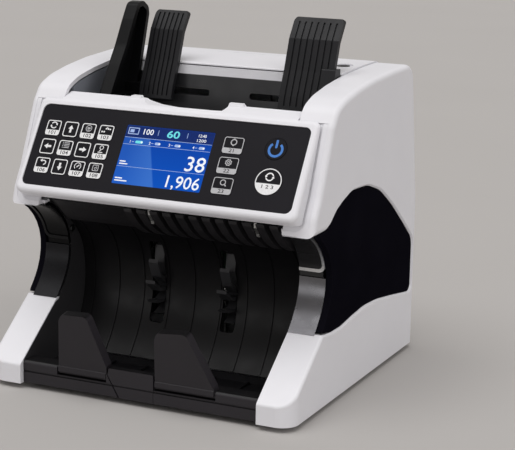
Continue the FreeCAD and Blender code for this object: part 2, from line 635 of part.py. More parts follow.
# --------------------------------------------------------- hinged stop plates
for (nm, outline, xl, xr) in PLATES:
    flat = [(p[0], p[1] - za, p[2] if len(p) > 2 else 0.0) for p in outline]
    flat[0] = (flat[0][0], -2.4, 0.5)
    flat[-1] = (flat[-1][0], -2.4, 0.5)
    plate = xz_solid(rounded(flat), -2.3, 0.1)
    # rear flange down the sloping side and across the top, thin like a moulded lip
    rim_out = xz_solid(rounded(flat), 0.0, 5.6)
    cut_poly = [(flat[0][0] - 3, -6.0, 0), (flat[0][0] - 3, flat[2][1] - 2.0, 0), (flat[3][0] - 2.6, flat[3][1] - 2.0, 3.0),
                (flat[4][0] - 2.3, flat[4][1] - 0.4, 0), (flat[5][0] - 2.3, -6.0, 0)]
    rim = rim_out.cut(xz_solid(rounded(cut_poly), -1, 8))
    rim = rim.cut(Part.makeBox(200, 20, 4.2, V(-100, -5, -3.2)))
    plate = plate.fuse(rim)
    plate.rotate(V(0, 0, 0), V(1, 0, 0), 10.0)
    plate.translate(V(0, ya, za))
    barrel = xcyl(xl + 0.4, xr - 0.4, ya, za, 2.2)
    pin = xcyl(xl - 3.0, xr + 3.0, ya, za, rp)
    toe = yz_solid(rounded([(0.25, 13.0, 0.2), (0.25, 16.8, 0), (1.5, 18.4, 0), (3.2, 18.4, 0), (3.2, 13.0, 0)]), xl + 0.4, (xr - 0.2) if xl < 0 else (xr - 1.2))
    solid = plate.fuse(barrel).fuse(pin).fuse(toe)
    solid = solid.cut(Part.makeBox(200, 20, 6, V(-100, -8, za - 2.6 - 6)))
    feature(nm, solid)

# -------------------------------------------------------- stacker tray and back
b = body("stacker_tray")
section = [(15.2, 3.2, 0.5), (15.2, 13.6, 0.5), (18.6, 13.6, 1.0), (24.0, 7.4, 4.0), (58.0, 6.4, 3.0), (66.0, 10.0, 2.0), (66.0, 6.8, 0.5),
           (58.8, 3.4, 2.0)]
sk = sketch(b, "tray_section", "YZ_Plane", rounded(section))
pad(b, "tray_floor", sk, 2 * xh, "2 * Sizes.bar_half", mid=True)
ribs = []
for x in (-78, -50, -22, 6, 34, 62):
    ribs += rect(x - 1.0, 26.0, x + 1.0, 57.0, 0.8)
sk = sketch(b, "tray_rib_outline", "XY_Plane", ribs, 5.0)
pad(b, "tray_ribs", sk, 3.4)

BACK = [(66.4, 10.2), (74.0, 19.0), (81.5, 30.5), (87.0, 43.5), (89.8, 57.0), (90.0, 71.0), (87.4, 84.5), (82.0, 96.0), (74.4, 105.2), (69.0, 110.0)]
b = body("stacker_back")
sk = sketch(b, "back_section", "YZ_Plane", band(BACK, 0.0, -2.2))
pad(b, "back_sheet", sk, 2 * xh, "2 * Sizes.bar_half", mid=True)
sk = sketch(b, "back_slots", "XZ_Plane", rect(-36.0, 34.0, -24.0, 98.0, 3.0) + rect(24.0, 34.0, 36.0, 98.0, 3.0))
pocket(b, "back_slot_cut", sk, 200, through=True, reverse=True)
# low vertical ribs that the notes slide down
rib = band(BACK, 0.8, -0.4)
sk = sketch(b, "back_rib_section", "YZ_Plane", rib, -88.0)
pad(b, "back_rib_first", sk, 1.6)
f = b.newObject("PartDesign::LinearPattern", "back_ribs")
f.Originals = [b.Tip] if b.Tip.Name != f.Name else []
f.Originals = [doc.getObject("back_rib_first")]
f.Direction = (plane(b, "X_Axis"), [""])
f.Length = 176.0 - 1.6
f.Occurrences = 9
b.Tip = f
doc.recompute()

# ----------------------------------------------------- ribbed guide over the mouth
COMB = [(38.6, 131.6), (46.0, 126.2), (53.0, 120.6), (59.0, 115.2), (64.0, 111.6)]
b = body("exit_comb")
sk = sketch(b, "comb_section", "YZ_Plane", band(COMB, 0.0, 1.8))
pad(b, "comb_sheet", sk, 2 * 94.5, mid=True)
RIB = [(29.4, 133.9, 0.3), (31.0, 131.0, 1.0), (42.0, 120.4, 10.0), (50.0, 114.9, 20.0), (58.0, 110.8, 20.0), (63.6, 108.8, 0.6), (64.6, 111.4, 0.5),
       (59.0, 116.0, 20.0), (53.0, 121.4, 20.0), (46.0, 127.0, 10.0), (38.6, 132.4, 3.0), (36.4, 133.4, 0.3)]
sk = sketch(b, "comb_rib_section", "YZ_Plane", rounded(RIB), -28.0)
pad(b, "comb_rib_first", sk, 6.4)
f = b.newObject("PartDesign::LinearPattern", "comb_ribs")
f.Originals = [doc.getObject("comb_rib_first")]
f.Direction = (plane(b, "X_Axis"), [""])
f.Length = 10.55 * 11
f.Occurrences = 12
b.Tip = f
doc.recompute()

# --------------------------------------------------------------- control bezel
def bezel_shape():
    bh, xi = S("bezel_half"), S("inner_edge")
    pr, lo, hi, br = S("bezel_proud"), S("bezel_low"), S("bezel_top"), S("bezel_round")
    # raised frame round the panel, drawn flat and laid on the slope
    frame = xy_solid(rounded([(-bh, lo, 6.0), (bh, lo, 6.0), (bh, hi, 5.0), (-bh, hi, 5.0)]), -24.0, pr)
    frame = frame.makeFillet(br, [e for e in frame.Edges if e.BoundBox.ZMin > pr - 1e-3])
    frame = to_panel(frame)
    trim = yz_solid(rounded([(0.0, 120.0, 0), (22.9, 120.0, 0), (22.9, 136.6, 0), (36.6, 137.0, 1.0), (44.0, 139.6, 0), (73.4, 167.0, 0), (74.0, 209.0, 0),
                             (80.0, 230.0, 0), (0.0, 230.0, 0)]), -bh - 2, bh + 2)
    frame = frame.common(trim)
    # the part between the side frames: hopper front wall and underside
    core = yz_solid(rounded([(18.0, 142.4, 0.5), (57.9, 204.6, 5.0), (71.2, 208.7, 1.2), (74.0, 208.0, 1.0), (76.0, 168.0, 0.5), (73.4, 167.0, 0.5),
                             (60.0, 150.0, 0), (44.0, 139.6, 0), (36.6, 137.0, 1.0), (26.6, 137.0, 0.5), (22.9, 138.4, 0.5)]), -xi + 0.35, xi - 0.35)
    solid = frame.fuse(core)
    inner = [(22.9, 144.2, 1.5), (58.4, 198.4, 2.0), (70.8, 200.4, 1.0), (72.3, 160.0, 0), (58.0, 147.0, 0), (47.0, 141.6, 0), (40.0, 139.8, 0),
             (30.0, 139.6, 2.0), (26.2, 141.2, 2.0)]
    solid = solid.cut(yz_solid(rounded(inner), -xi + 3.4, xi - 3.4))
    # outside the inner frames only the raised frame itself remains, resting on the shells' front faces
    keep_out = inset(SHELL, -0.35)
    for s in (1, -1):
        k = yz_solid(rounded(keep_out), s * (xi - 0.35) if s > 0 else -bh - 5, bh + 5 if s > 0 else -(xi - 0.35))
        solid = solid.cut(k)
        box = Part.makeBox(40.0, 60.0, 130.0, V(xi - 0.3 if s > 0 else -xi + 0.3 - 40.0, 62.0, 120.0))
        solid = solid.cut(box)
    # finger scoop in the hopper's front wall, with a small raised ear at each side
    scoop = xz_solid(rounded([(-36.0, 216, 0), (-34.5, 209.6, 2.0), (-30.0, 206.8, 4.0), (-20.0, 204.4, 20.0), (-6.0, 203.2, 30.0), (14.0, 202.9, 30.0),
                              (33.0, 203.6, 3.0), (36.0, 207.0, 2.0), (37.5, 216, 0)]), 61.0, 80.0)
    ears = []
    for (a, c, d, e2, top) in ((-47.5, -43.5, -36.0, -33.0, 209.8), (33.0, 36.0, 47.0, 51.6, 210.4)):
        ears.append(xz_solid(rounded([(a, 204.0, 0), (c, top, 1.2), (d, top, 1.2), (e2, 204.0, 0)]), 66.8, 74.0))
    back_wall = yz_solid(rounded([(66.0, 203.0, 0), (70.6, 210.6, 0.8), (74.0, 210.6, 0.8), (74.2, 203.0, 0)]), -60, 60)
    for ear in ears:
        solid = solid.fuse(ear.common(back_wall))
    solid = solid.cut(scoop)
    return one(solid)


gap = S("key_gap")
GRID = []
for r_ in range(3):
    for c_ in range(4):
        GRID.append(("key_%d_%d" % (r_ + 1, c_ + 1), S("key_first_u") + c_ * S("key_pitch_u"), S("key_first_v") - r_ * S("key_pitch_v")))
SIDE = [("side_key_%d" % (i + 1), S("side_key_u"), S("side_key_v") - i * S("side_key_pitch")) for i in range(3)]


def key_windows(extra):
    kw, kh = S("key_wide") / 2 + extra, S("key_high") / 2 + extra
    sw, sh = S("side_key_wide") / 2 + extra, S("side_key_high") / 2 + extra
    geo = []
    for (_, u, v) in GRID:
        geo += rect(u - kw, v - kh, u + kw, v + kh, 2.0 + extra)
    for (_, u, v) in SIDE:
        geo += rect(u - sw, v - sh, u + sw, v + sh, 2.0 + extra)
    geo += circle(S("power_u"), S("power_v"), S("power_round") + extra)
    geo += circle(S("restart_u"), S("restart_v"), S("restart_round") + extra)
    return geo


bezel = bezel_shape()
ow, oh, ot = S("overlay_wide") / 2, S("overlay_high") / 2, S("overlay_thick")
bezel = bezel.cut(to_panel(xy_solid(rect(-ow - 0.15, -oh - 0.15, ow + 0.15, oh + 0.15, 5.2), -ot - 0.05, 6.0)))
lu, lv = S("lcd_u"), S("lcd_v")
bezel = bezel.cut(to_panel(xy_solid(rect(lu - 40.5, lv - 28.5, lu + 40.5, lv + 28.5, 1.0), -8.0, 2.0)))
bezel = bezel.cut(to_panel(xy_solid(key_windows(0.45), -8.0, 2.0)))
bezel = bezel.cut(to_panel(xy_solid(rect(-104.5, -27.5, 104.5, 27.5, 2.5), -12.0, -7.9)))
feature("control_bezel", bezel)

# --------------------------------------------------------------- panel overlay
b = body("panel_overlay", panel=True)
sk = sketch(b, "overlay_outline", "XY_Plane", rect(-ow, -oh, ow, oh, 5.0), -ot, "-Sizes.overlay_thick")
pad(b, "overlay_sheet", sk, ot, "Sizes.overlay_thick")
lw, lh = S("lcd_wide") / 2, S("lcd_high") / 2
sk = sketch(b, "overlay_windows", "XY_Plane", key_windows(gap) + rect(lu - lw - 0.15, lv - lh - 0.15, lu + lw + 0.15, lv + lh + 0.15, 0.8))
pocket(b, "overlay_openings", sk, 10, through=True)

# ------------------------------------------------------------------ LCD module
b = body("display_lcd", panel=True)
sk = sketch(b, "lcd_case_outline", "XY_Plane", rect(lu - 39.5, lv - 27.5, lu + 39.5, lv + 27.5, 1.0), -6.2)
pad(b, "lcd_case", sk, 6.2 - 1.75)
sk = sketch(b, "lcd_glass_outline", "XY_Plane", rect(lu - lw, lv - lh, lu + lw, lv + lh, 0.7), -1.9)
pad(b, "lcd_glass", sk, 1.65)

# ------------------------------------------------- key board behind the panel
b = body("panel_board", panel=True)
sk = sketch(b, "board_outline", "XY_Plane", rect(-104.0, -27.0, 104.0, 27.0, 2.0), -9.8)
pad(b, "board_sheet", sk, 1.6)
dots = []
for (_, u, v) in GRID + SIDE:
    dots += circle(u, v, 2.6)
dots += circle(S("power_u"), S("power_v"), 2.6) + circle(S("restart_u"), S("restart_v"), 2.6)
sk = sketch(b, "switch_outlines", "XY_Plane", dots, -8.3)
pad(b, "switch_bodies", sk, 3.15)
sk = sketch(b, "board_spacer_outlines", "XY_Plane", rect(lu - 36.0, lv - 24.0, lu - 30.0, lv + 24.0, 0.5) + rect(lu + 30.0, lv - 24.0, lu + 36.0, lv + 24.0, 0.5), -8.3)
pad(b, "board_spacers", sk, 2.0)

# ------------------------------------------------------------------------ keys
def key_body(label, geo):
    k = body(label, panel=True)
    s0 = sketch(k, label + "_outline", "XY_Plane", geo, -S("key_depth"), "-Sizes.key_depth")
    pad(k, label + "_cap", s0, S("key_depth") + S("key_proud"), "Sizes.key_depth + Sizes.key_proud")
    fillet(k, label + "_edge", 0.25, on_level(2, S("key_proud")))
    return k


kw, kh = S("key_wide") / 2, S("key_high") / 2
sw, sh = S("side_key_wide") / 2, S("side_key_high") / 2
for (nm, u, v) in GRID:
    key_body(nm, rect(u - kw, v - kh, u + kw, v + kh, 2.0))
for (nm, u, v) in SIDE:
    key_body(nm, rect(u - sw, v - sh, u + sw, v + sh, 2.0))
key_body("power_key", circle(S("power_u"), S("power_v"), S("power_round")))
key_body("restart_key", circle(S("restart_u"), S("restart_v"), S("restart_round")))

# ----------------------------------------------------------- hopper floor
b = body("hopper_floor")
section = [(76.4, 168.4, 0.5), (76.2, 170.4, 0.5), (133.4, 190.9, 3.0), (137.1, 222.0, 0.3), (137.5, 225.6, 0.3), (139.9, 225.6, 0.3), (139.4, 221.8, 0.3),
           (135.6, 188.9, 3.0)]
sk = sketch(b, "floor_section", "YZ_Plane", rounded(section))
pad(b, "floor_sheet", sk, 2 * xh, "2 * Sizes.bar_half", mid=True)
sk = sketch(b, "floor_slots", "XY_Plane", rect(-47.0, 81.6, -25.0, 114.5, 1.5) + rect(25.0, 81.6, 47.0, 114.5, 1.5))
pocket(b, "floor_slot_cut", sk, 300, through=True, reverse=True)
sk = sketch(b, "wall_slot", "XZ_Plane", rect(-80.0, 203.0, -12.0, 208.0, 2.0) + rect(22.0, 203.0, 92.0, 208.0, 2.0))
pocket(b, "wall_slot_cut", sk, 300, through=True, reverse=True)

# -------------------------------------------------------------- hopper guides
LEAN = [(119.6, 200.0), (122.6, 210.0), (131.0, 229.0), (139.3, 251.5), (149.3, 265.8)]


def rest_shape(x0, x1, grooves, tab, tip):
    rt = S("rest_thick")
    line = LEAN[:-1] + [tip]
    back = offset_line(line, -rt)
    soft = [8.0, 8.0, 8.0, 1.5, 8.0]
    pts = [(p[0], p[1], r) for p, r in zip(line, soft)] + [(p[0], p[1], r) for p, r in zip(reversed(back), [8.0, 4.0, 8.0, 8.0, 8.0])]
    pts[0] = (pts[0][0], pts[0][1], 0.8)
    pts[-1] = (pts[-1][0], pts[-1][1], 0.8)
    pts[4] = (pts[4][0], pts[4][1], 1.2)
    pts[5] = (pts[5][0], pts[5][1], 1.2)
    solid = yz_solid(rounded(pts), x0, x1)
    # rounded top corners
    top = max(p[1] for p in pts)
    mask = xz_solid(rounded([(x0, 190, 0), (x1, 190, 0), (x1, top, 4.0), (x0, top, 4.0)]), 100, 170)
    solid = solid.common(mask)
    # long grooves down the front face
    pitch = (x1 - x0) / (grooves + 1.0)
    g0 = [(p[0], p[1], 8.0) for p in offset_line(line, 2.0)]
    g1 = [(p[0], p[1], 8.0) for p in offset_line(line, -1.1)]
    gp = yz_solid(rounded(g0 + list(reversed(g1))), -0.7, 0.7)
    gp = gp.common(Part.makeBox(4, 100, 60.5, V(-2, 90, 203.0)))
    for i in range(grooves):
        q = gp.copy()
        q.translate(V(x0 + pitch * (i + 1), 0, 0))
        solid = solid.cut(q)
    # lug through the slot in the hopper's rear wall, with a keeper behind it
    xc = (x0 + x1) / 2.0
    lug = Part.makeBox(10.0, 16.0, 4.2, V(xc - 5.0, 123.6, 203.4))
    lug = lug.fuse(Part.makeBox(10.0, 2.4, 12.0, V(xc - 5.0, 141.2, 199.5)))
    lug = lug.fuse(Part.makeBox(10.0, 6.0, 4.2, V(xc - 5.0, 136.0, 203.4)))
    solid = solid.fuse(lug)
    if tab:
        # low side stop that stands beside and in front of the rest
        t = yz_solid(rounded([(119.0, 200.0, 1.0), (127.0, 231.8, 1.2), (136.2, 231.6, 1.0), (136.0, 226.0, 1.0), (131.5, 214.0, 1.0), (122.0, 200.0, 1.0)]), tab[0], tab[1])
        solid = solid.fuse(t)
    return one(solid)


right_rest = rest_shape(52.0, 92.0, 7, (84.0, 95.2), (150.2, 267.0))
feature("rear_rest_right", right_rest)
left_rest = rest_shape(-65.2, -37.2, 6, None, (149.5, 265.8))
feature("rear_rest_left", left_rest)


def guide_shape():
    x0, x1 = S("guide_outer_x"), S("guide_inner_x")
    outline = [(81.0, 200.0, 2.0), (99.4, 227.0, 60.0), (109.4, 240.8, 40.0), (120.6, 259.6, 20.0), (128.6, 271.6, 6.0), (137.2, 272.6, 6.0), (145.0, 267.6, 5.0),
               (146.2, 262.0, 6.0), (140.1, 242.1, 20.0), (136.6, 230.6, 8.0), (132.0, 216.0, 4.0), (124.4, 200.0, 2.0)]
    solid = yz_solid(rounded(outline), x0, x1)
    inner = inset(outline, 3.9)
    solid = solid.cut(yz_solid(rounded(inner), x0 + 2.2, x1 + 1))
    # soft front and top outer edges
    picks = []
    for e in solid.Edges:
        bb = e.BoundBox
        if bb.XMax < x0 + 1e-3:
            m = e.valueAt((e.FirstParameter + e.LastParameter) / 2)
            if m.z > 203.0 and not (m.y > 125 and m.z < 250):
                picks.append(e)
    for r in (1.6, 1.2, 0.8):
        try:
            f = solid.makeFillet(r, picks)
            if f.isValid() and f.Volume < solid.Volume:
                solid = f
                break
        except Exception:
            continue
    # foot that joins the guide to the left rear rest
    foot = Part.makeBox(15.2, 9.0, 10.0, V(x0 + 0.2, 121.6, 201.0)).common(yz_solid(rounded([(118, 200, 0), (118, 216, 0), (132.0, 216.0, 0), (127.6, 206.0, 0), (124.0, 200.0, 0)]), x0, x0 + 15.6))
    return one(solid.fuse(foot))


feature("side_guide_left", guide_shape())

# ---------------------------------------------------------- rollers and shafts
def shaft(label, y, z, x_left, x_right, pulley_r):
    """Round shaft with a flanged belt pulley at its left-hand end."""
    ar = S("axle_round")
    s = xcyl(x_left, x_right, y, z, ar)
    s = s.fuse(xcyl(-109.6, -101.6, y, z, pulley_r))
    s = s.fuse(xcyl(-110.4, -109.4, y, z, pulley_r + 1.2))
    s = s.fuse(xcyl(-101.8, -100.8, y, z, pulley_r + 1.2))
    # collars that locate the shaft between the side frames
    s = s.fuse(xcyl(93.0, 95.8, y, z, ar + 2.0)).fuse(xcyl(-95.8, -93.0, y, z, ar + 2.0))
    return s


def tyre(y, z, xc, wide, r, ribs=24):
    """Rubber sleeve with shallow lengthwise flutes."""
    t = xcyl(xc - wide / 2, xc + wide / 2, y, z, r)
    bore = xcyl(xc - wide / 2 - 1, xc + wide / 2 + 1, y, z, S("axle_round"))
    flutes = []
    for i in range(ribs):
        a = 2 * math.pi * i / ribs
        flutes.append(xcyl(xc - wide / 2 - 1, xc + wide / 2 + 1, y + (r + 0.25) * math.cos(a), z + (r + 0.25) * math.sin(a), 0.8))
    return t.cut(bore).cut(Part.makeCompound(flutes))


feature("feed_shaft", shaft("feed_shaft", S("feed_y"), S("feed_z"), -111.0, 101.0, S("feed_pulley")))
feature("feed_rollers", Part.makeCompound([tyre(S("feed_y"), S("feed_z"), s * 36.0, 20.0, S("feed_roller_round")) for s in (-1, 1)]))
feature("carry_shaft", shaft("carry_shaft", S("carry_y"), S("carry_z"), -111.0, 101.0, S("carry_pulley")))
feature("carry_rollers", Part.makeCompound([tyre(S("carry_y"), S("carry_z"), x, 16.0, S("carry_roller_round"), 18) for x in (-72.0, -36.0, 0.0, 36.0, 72.0)]))
feature("stacking_shaft", shaft("stacking_shaft", S("fan_y"), S("fan_z"), -111.0, 101.0, S("fan_pulley")))


def fan(xc):
    """Stacking wheel: a hub with swept flexible fingers."""
    pts = []
    n = 12
    for i in range(n):
        a = 2 * math.pi * i / n
        step = 2 * math.pi / n
        sweep = -0.62
        pts.append((math.cos(a) * 12.0, math.sin(a) * 12.0))
        pts.append((math.cos(a + sweep * 0.5) * 22.0, math.sin(a + sweep * 0.5) * 22.0))
        pts.append((math.cos(a + sweep) * S("fan_round"), math.sin(a + sweep) * S("fan_round")))
        pts.append((math.cos(a + sweep + 0.085) * (S("fan_round") - 0.3), math.sin(a + sweep + 0.085) * (S("fan_round") - 0.3)))
        pts.append((math.cos(a + sweep * 0.5 + 0.13) * 22.0, math.sin(a + sweep * 0.5 + 0.13) * 22.0))
        pts.append((math.cos(a + 0.26) * 12.4, math.sin(a + 0.26) * 12.4))
    wire = [(S("fan_y") + p[0], S("fan_z") + p[1], 0.0) for p in pts]
    s = yz_solid(rounded(wire), xc - 4.0, xc + 4.0)
    s = s.fuse(xcyl(xc - 6.5, xc + 6.5, S("fan_y"), S("fan_z"), 9.0))
    return s.cut(xcyl(xc - 10, xc + 10, S("fan_y"), S("fan_z"), S("axle_round")))


feature("stacking_wheels", Part.makeCompound([fan(-30.0), fan(30.0)]))

# ------------------------------------------------------------- motor and drive
my, mz = S("drive_y"), S("drive_z")
motor = xcyl(-96.1, -92.1, my, mz, 12.0).cut(xcyl(-100, -90, my, mz, 4.0))
motor = motor.fuse(xcyl(-92.6, -38.0, my, mz, 19.0)).fuse(xcyl(-38.4, -33.0, my, mz, 8.0))
motor = motor.cut(xcyl(-100, -60, my, mz, 3.0))
for a in (45, 135, 225, 315):
    q = math.radians(a)
    motor = motor.cut(xcyl(-93.0, -40.0, my + 19.6 * math.cos(q), mz + 19.6 * math.sin(q), 1.8))
feature("drive_motor", motor)
pul = xcyl(-111.2, -62.0, my, mz, 2.5).fuse(xcyl(-109.6, -101.6, my, mz, S("drive_pulley")))
pul = pul.fuse(xcyl(-110.4, -109.4, my, mz, S("drive_pulley") + 1.2)).fuse(xcyl(-101.8, -100.8, my, mz, S("drive_pulley") + 1.2))
feature("motor_pulley", pul)


def belt_solid():
    """Flat belt round the four pulleys: the outer loop less the inner loop."""
    ring = [(S("feed_y"), S("feed_z"), S("feed_pulley")), (S("carry_y"), S("carry_z"), S("carry_pulley")),
            (S("fan_y"), S("fan_z"), S("fan_pulley")), (my, mz, S("drive_pulley"))]

    def loop(extra):
        geo = []
        tang = []
        n = len(ring)
        for i in range(n):
            y0, z0, r0 = ring[i]
            y1, z1, r1 = ring[(i + 1) % n]
            r0 += extra
            r1 += extra
            d = V(y1 - y0, z1 - z0, 0)
            L = d.Length
            d.normalize()
            # outside tangent on the right-hand side of travel (loop runs anticlockwise)
            k = (r0 - r1) / L
            nx = V(d.y, -d.x, 0)
            nn = d * k + nx * math.sqrt(1 - k * k)
            p = V(y0, z0, 0) + nn * r0
            q = V(y1, z1, 0) + nn * r1
            tang.append((p, q))
            geo.append(Part.LineSegment(p, q))
        for i in range(n):
            y0, z0, r0 = ring[i]
            r0 += extra
            a_in = tang[i - 1][1] - V(y0, z0, 0)
            a_out = tang[i][0] - V(y0, z0, 0)
            a0 = math.atan2(a_in.y, a_in.x)
            a1 = math.atan2(a_out.y, a_out.x)
            while a1 < a0:
                a1 += 2 * math.pi
            geo.append(Part.ArcOfCircle(Part.Circle(V(y0, z0, 0), V(0, 0, 1), r0), a0, a1))
        return geo
    return yz_solid(loop(1.6), -108.8, -102.6).cut(yz_solid(loop(0.35), -110.0, -101.0))


feature("drive_belt", belt_solid())

# ------------------------------------------------- sensor bars, boards, power
bar_a = Part.makeBox(184.0, 11.0, 14.0, V(-92.0, 51.8, 140.4))
bar_b = Part.makeBox(184.0, 12.0, 15.0, V(-92.0, 106.0, 119.0))
glass_a = Part.makeBox(176.0, 1.2, 6.0, V(-88.0, 62.4, 144.0))
glass_b = Part.makeBox(176.0, 1.2, 6.0, V(-88.0, 105.4, 123.0))
feature("sensor_bars", Part.makeCompound([bar_a.fuse(glass_a), bar_b.fuse(glass_b)]))

b = body("main_board")
sk = sketch(b, "main_board_outline", "XY_Plane", rect(-46.0, 138.0, 94.0, 216.0, 2.0), 59.6)
pad(b, "main_board_sheet", sk, 1.6)
sk = sketch(b, "main_board_chip_outlines", "XY_Plane", rect(-4, 160, 20, 184, 0.5) + rect(36, 150, 50, 164, 0.3) + rect(36, 176, 50, 196, 0.3) + rect(60, 148, 70, 176, 0.5)
            + rect(-40, 150, -34, 200, 0.5) + rect(74, 188, 88, 206, 0.5), 61.0)
pad(b, "main_board_chips", sk, 3.4)
sk = sketch(b, "main_board_cap_outlines", "XY_Plane", circle(-20, 156, 4) + circle(-20, 170, 4) + circle(62, 196, 5), 61.0)
pad(b, "main_board_caps", sk, 10.0)

b = body("power_supply")
sk = sketch(b, "supply_outline", "XY_Plane", rect(-28.0, 150.0, 82.0, 206.0, 1.0), 3.2)
pad(b, "supply_tray", sk, 3.0)
sk = sketch(b, "supply_transformer_outline", "XY_Plane", rect(-6, 162, 28, 194, 1.0) + rect(60, 158, 74, 198, 0.5), 6.0)
pad(b, "supply_transformer", sk, 26.0)
sk = sketch(b, "supply_cap_outlines", "XY_Plane", circle(44, 168, 9.0) + circle(44, 190, 7.0) + circle(-18, 170, 5.0) + circle(-18, 188, 5.0), 6.0)
pad(b, "supply_caps", sk, 30.0)

# ------------------------------------------------------- inlet and rocker switch
def inlet_shape():
    # front plate flush on the base's rear wall, body behind it, socket and switch wells
    fr = xz_solid(rect(28.0, 16.4, 76.0, 43.6, 2.5), 233.6, 235.0 + 0.0)
    fr = xz_solid(rect(26.9, 18.2, 77.1, 41.8, 1.2), 231.0, 235.0)
    bodyp = xz_solid(rect(28.5, 19.6, 75.5, 40.4, 1.0), 213.0, 231.4)
    s = fr.fuse(bodyp)
    # socket well (coupler inlet), 24 x 17 mm with two cut corners
    well = xz_solid(rounded([(49.0, 22.0, 0.5), (73.0, 22.0, 0.5), (73.0, 34.6, 0.3), (69.4, 38.6, 0.3), (52.6, 38.6, 0.3), (49.0, 34.6, 0.3)]), 219.0, 236.0)
    s = s.cut(well)
    for (x, z) in ((54.0, 27.0), (68.0, 27.0), (61.0, 31.2)):
        s = s.fuse(Part.makeBox(2.0, 12.0, 4.0, V(x - 1.0, 218.6, z - 2.0)))
    # well for the rocker
    rw = xz_solid(rect(30.4, 20.6, 45.6, 39.4, 0.5), 222.0, 236.0)
    s = s.cut(rw)
    s = s.cut(xcyl(29.2, 46.8, 232.2, 30.0, 1.0 + S("bore_clear")))
    return s


feature("power_inlet", inlet_shape())
rk = yz_solid(rounded([(224.6, 27.0, 1.0), (224.6, 33.0, 1.0), (230.0, 37.8, 0.5), (234.8, 38.4, 0.8), (233.4, 30.4, 6.0), (236.0, 22.2, 0.8), (231.6, 21.4, 0.5)]), 30.8, 45.2)
rk = rk.common(xcyl(30.8, 45.2, 232.2, 30.0, 9.0))
rk = rk.fuse(xcyl(29.4, 46.6, 232.2, 30.0, 1.0))
feature("power_rocker", rk)

# ----------------------------------------------------------------- rear door
def door_shape():
    dh, dt = S("door_half"), S("door_skin")
    outer = [(137.2, 226.3, 0.3), (137.4, 227.9, 1.2), (180.0, 229.6, 200.0), (218.4, 229.6, 14.0), (235.0, 118.0, 90.0), (235.0, 61.6, 0.5),
             (235.0 - dt, 61.6, 0.3), (235.0 - dt, 117.8, 87.4), (216.0, 227.0, 11.4), (180.0, 227.0, 200.0), (141.0, 226.3, 0.3)]
    skin = yz_solid(rounded(outer), -dh, dh)
    flange = [(141.4, 226.8, 0.5), (180.0, 227.6, 200.0), (216.4, 227.5, 12.0), (232.8, 117.9, 88.0), (232.8, 62.4, 0.5),
              (222.0, 62.4, 0.5), (222.0, 117.0, 60.0), (207.4, 217.0, 8.0), (180.0, 218.0, 100.0), (141.4, 217.0, 2.0)]
    for s in (1, -1):
        x0 = s * (dh - 0.2)
        x1 = s * (dh - 2.2)
        skin = skin.fuse(yz_solid(rounded(flange), min(x0, x1), max(x0, x1)))
    # stiffening ribs inside the rear face
    for x in (-45.0, 0.0, 45.0):
        rib = [(230.0, 80.0, 1.0), (232.8, 76.0, 0.3), (232.8, 117.9, 88.0), (217.6, 221.0, 2.0), (214.2, 221.0, 2.0), (229.6, 117.2, 80.0)]
        skin = skin.fuse(yz_solid(rounded(rib), x - 1.0, x + 1.0))
    # a step in the top face: the shallow groove of the finger edge
    skin = skin.cut(Part.makeBox(76.0, 1.8, 1.2, V(-36.0, 196.0, 229.5)))
    # louvres in the rear face
    for i in range(7):
        skin = skin.cut(Part.makeBox(90.0, 10.0, 2.4, V(-45.0, 228.0, 96.0 + i * 6.4)))
    # hole for the gap screw and the clearance of its flange
    kx, ky, kr = S("knob_x"), S("knob_y"), S("knob_round")
    skin = skin.cut(Part.makeCylinder(kr + S("bore_clear"), 20, V(kx, ky, 218)))
    skin = skin.cut(Part.makeCylinder(kr + 2.6, 2.0, V(kx, ky, 228.7)))
    # hinge pins
    ay, az, ap = S("door_axis_y"), S("door_axis_z"), S("door_pin")
    for s in (1, -1):
        x0, x1 = s * (dh - 4.0), s * (dh - 0.2)
        boss = xcyl(min(x0, x1), max(x0, x1), ay, az, 4.2)
        skin = skin.fuse(boss)
        p0, p1 = s * (dh - 4.0), s * 98.4
        skin = skin.fuse(xcyl(min(p0, p1), max(p0, p1), ay, az, ap))
    return one(skin)


feature("rear_door", door_shape())
kx, ky, kr = S("knob_x"), S("knob_y"), S("knob_round")
kn = Part.makeCylinder(kr, 7.4, V(kx, ky, 221.8)).fuse(Part.makeCylinder(kr + 2.0, 1.6, V(kx, ky, 223.6)))
kn = kn.fuse(Part.makeCylinder(2.0, 8.0, V(kx, ky, 215.0)))
kn = kn.cut(Part.makeBox(7.0, 1.2, 1.2, V(kx - 3.5, ky - 0.6, 228.2)))
feature("gap_screw", kn)

# ----------------------------------------------------------- feet and fasteners
fr_, fh = S("foot_round"), S("foot_high")
feet = []
for (x, y) in ((-106.0, 24.0), (106.0, 24.0), (-106.0, 216.0), (106.0, 216.0)):
    f_ = Part.makeCone(fr_ - 1.0, fr_, fh, V(x, y, -fh))
    try:
        f_ = f_.makeFillet(0.7, [e for e in f_.Edges if abs(e.BoundBox.ZMax + fh) < 1e-3])
    except Exception:
        pass
    feet.append(f_)
feature("rubber_feet", Part.makeCompound(feet))


def pan_screw(length):
    """Small pan-head screw standing on +Z, head below the origin plane."""
    s = Part.makeCylinder(1.5, length, V(0, 0, 0))
    h = Part.makeCylinder(2.9, 1.6, V(0, 0, -1.6))
    h = h.makeFillet(0.9, [e for e in h.Edges if e.BoundBox.ZMax < -1.5])
    h = h.cut(Part.makeBox(3.4, 0.7, 1.0, V(-1.7, -0.35, -1.7))).cut(Part.makeBox(0.7, 3.4, 1.0, V(-0.35, -1.7, -1.7)))
    return s.fuse(h)


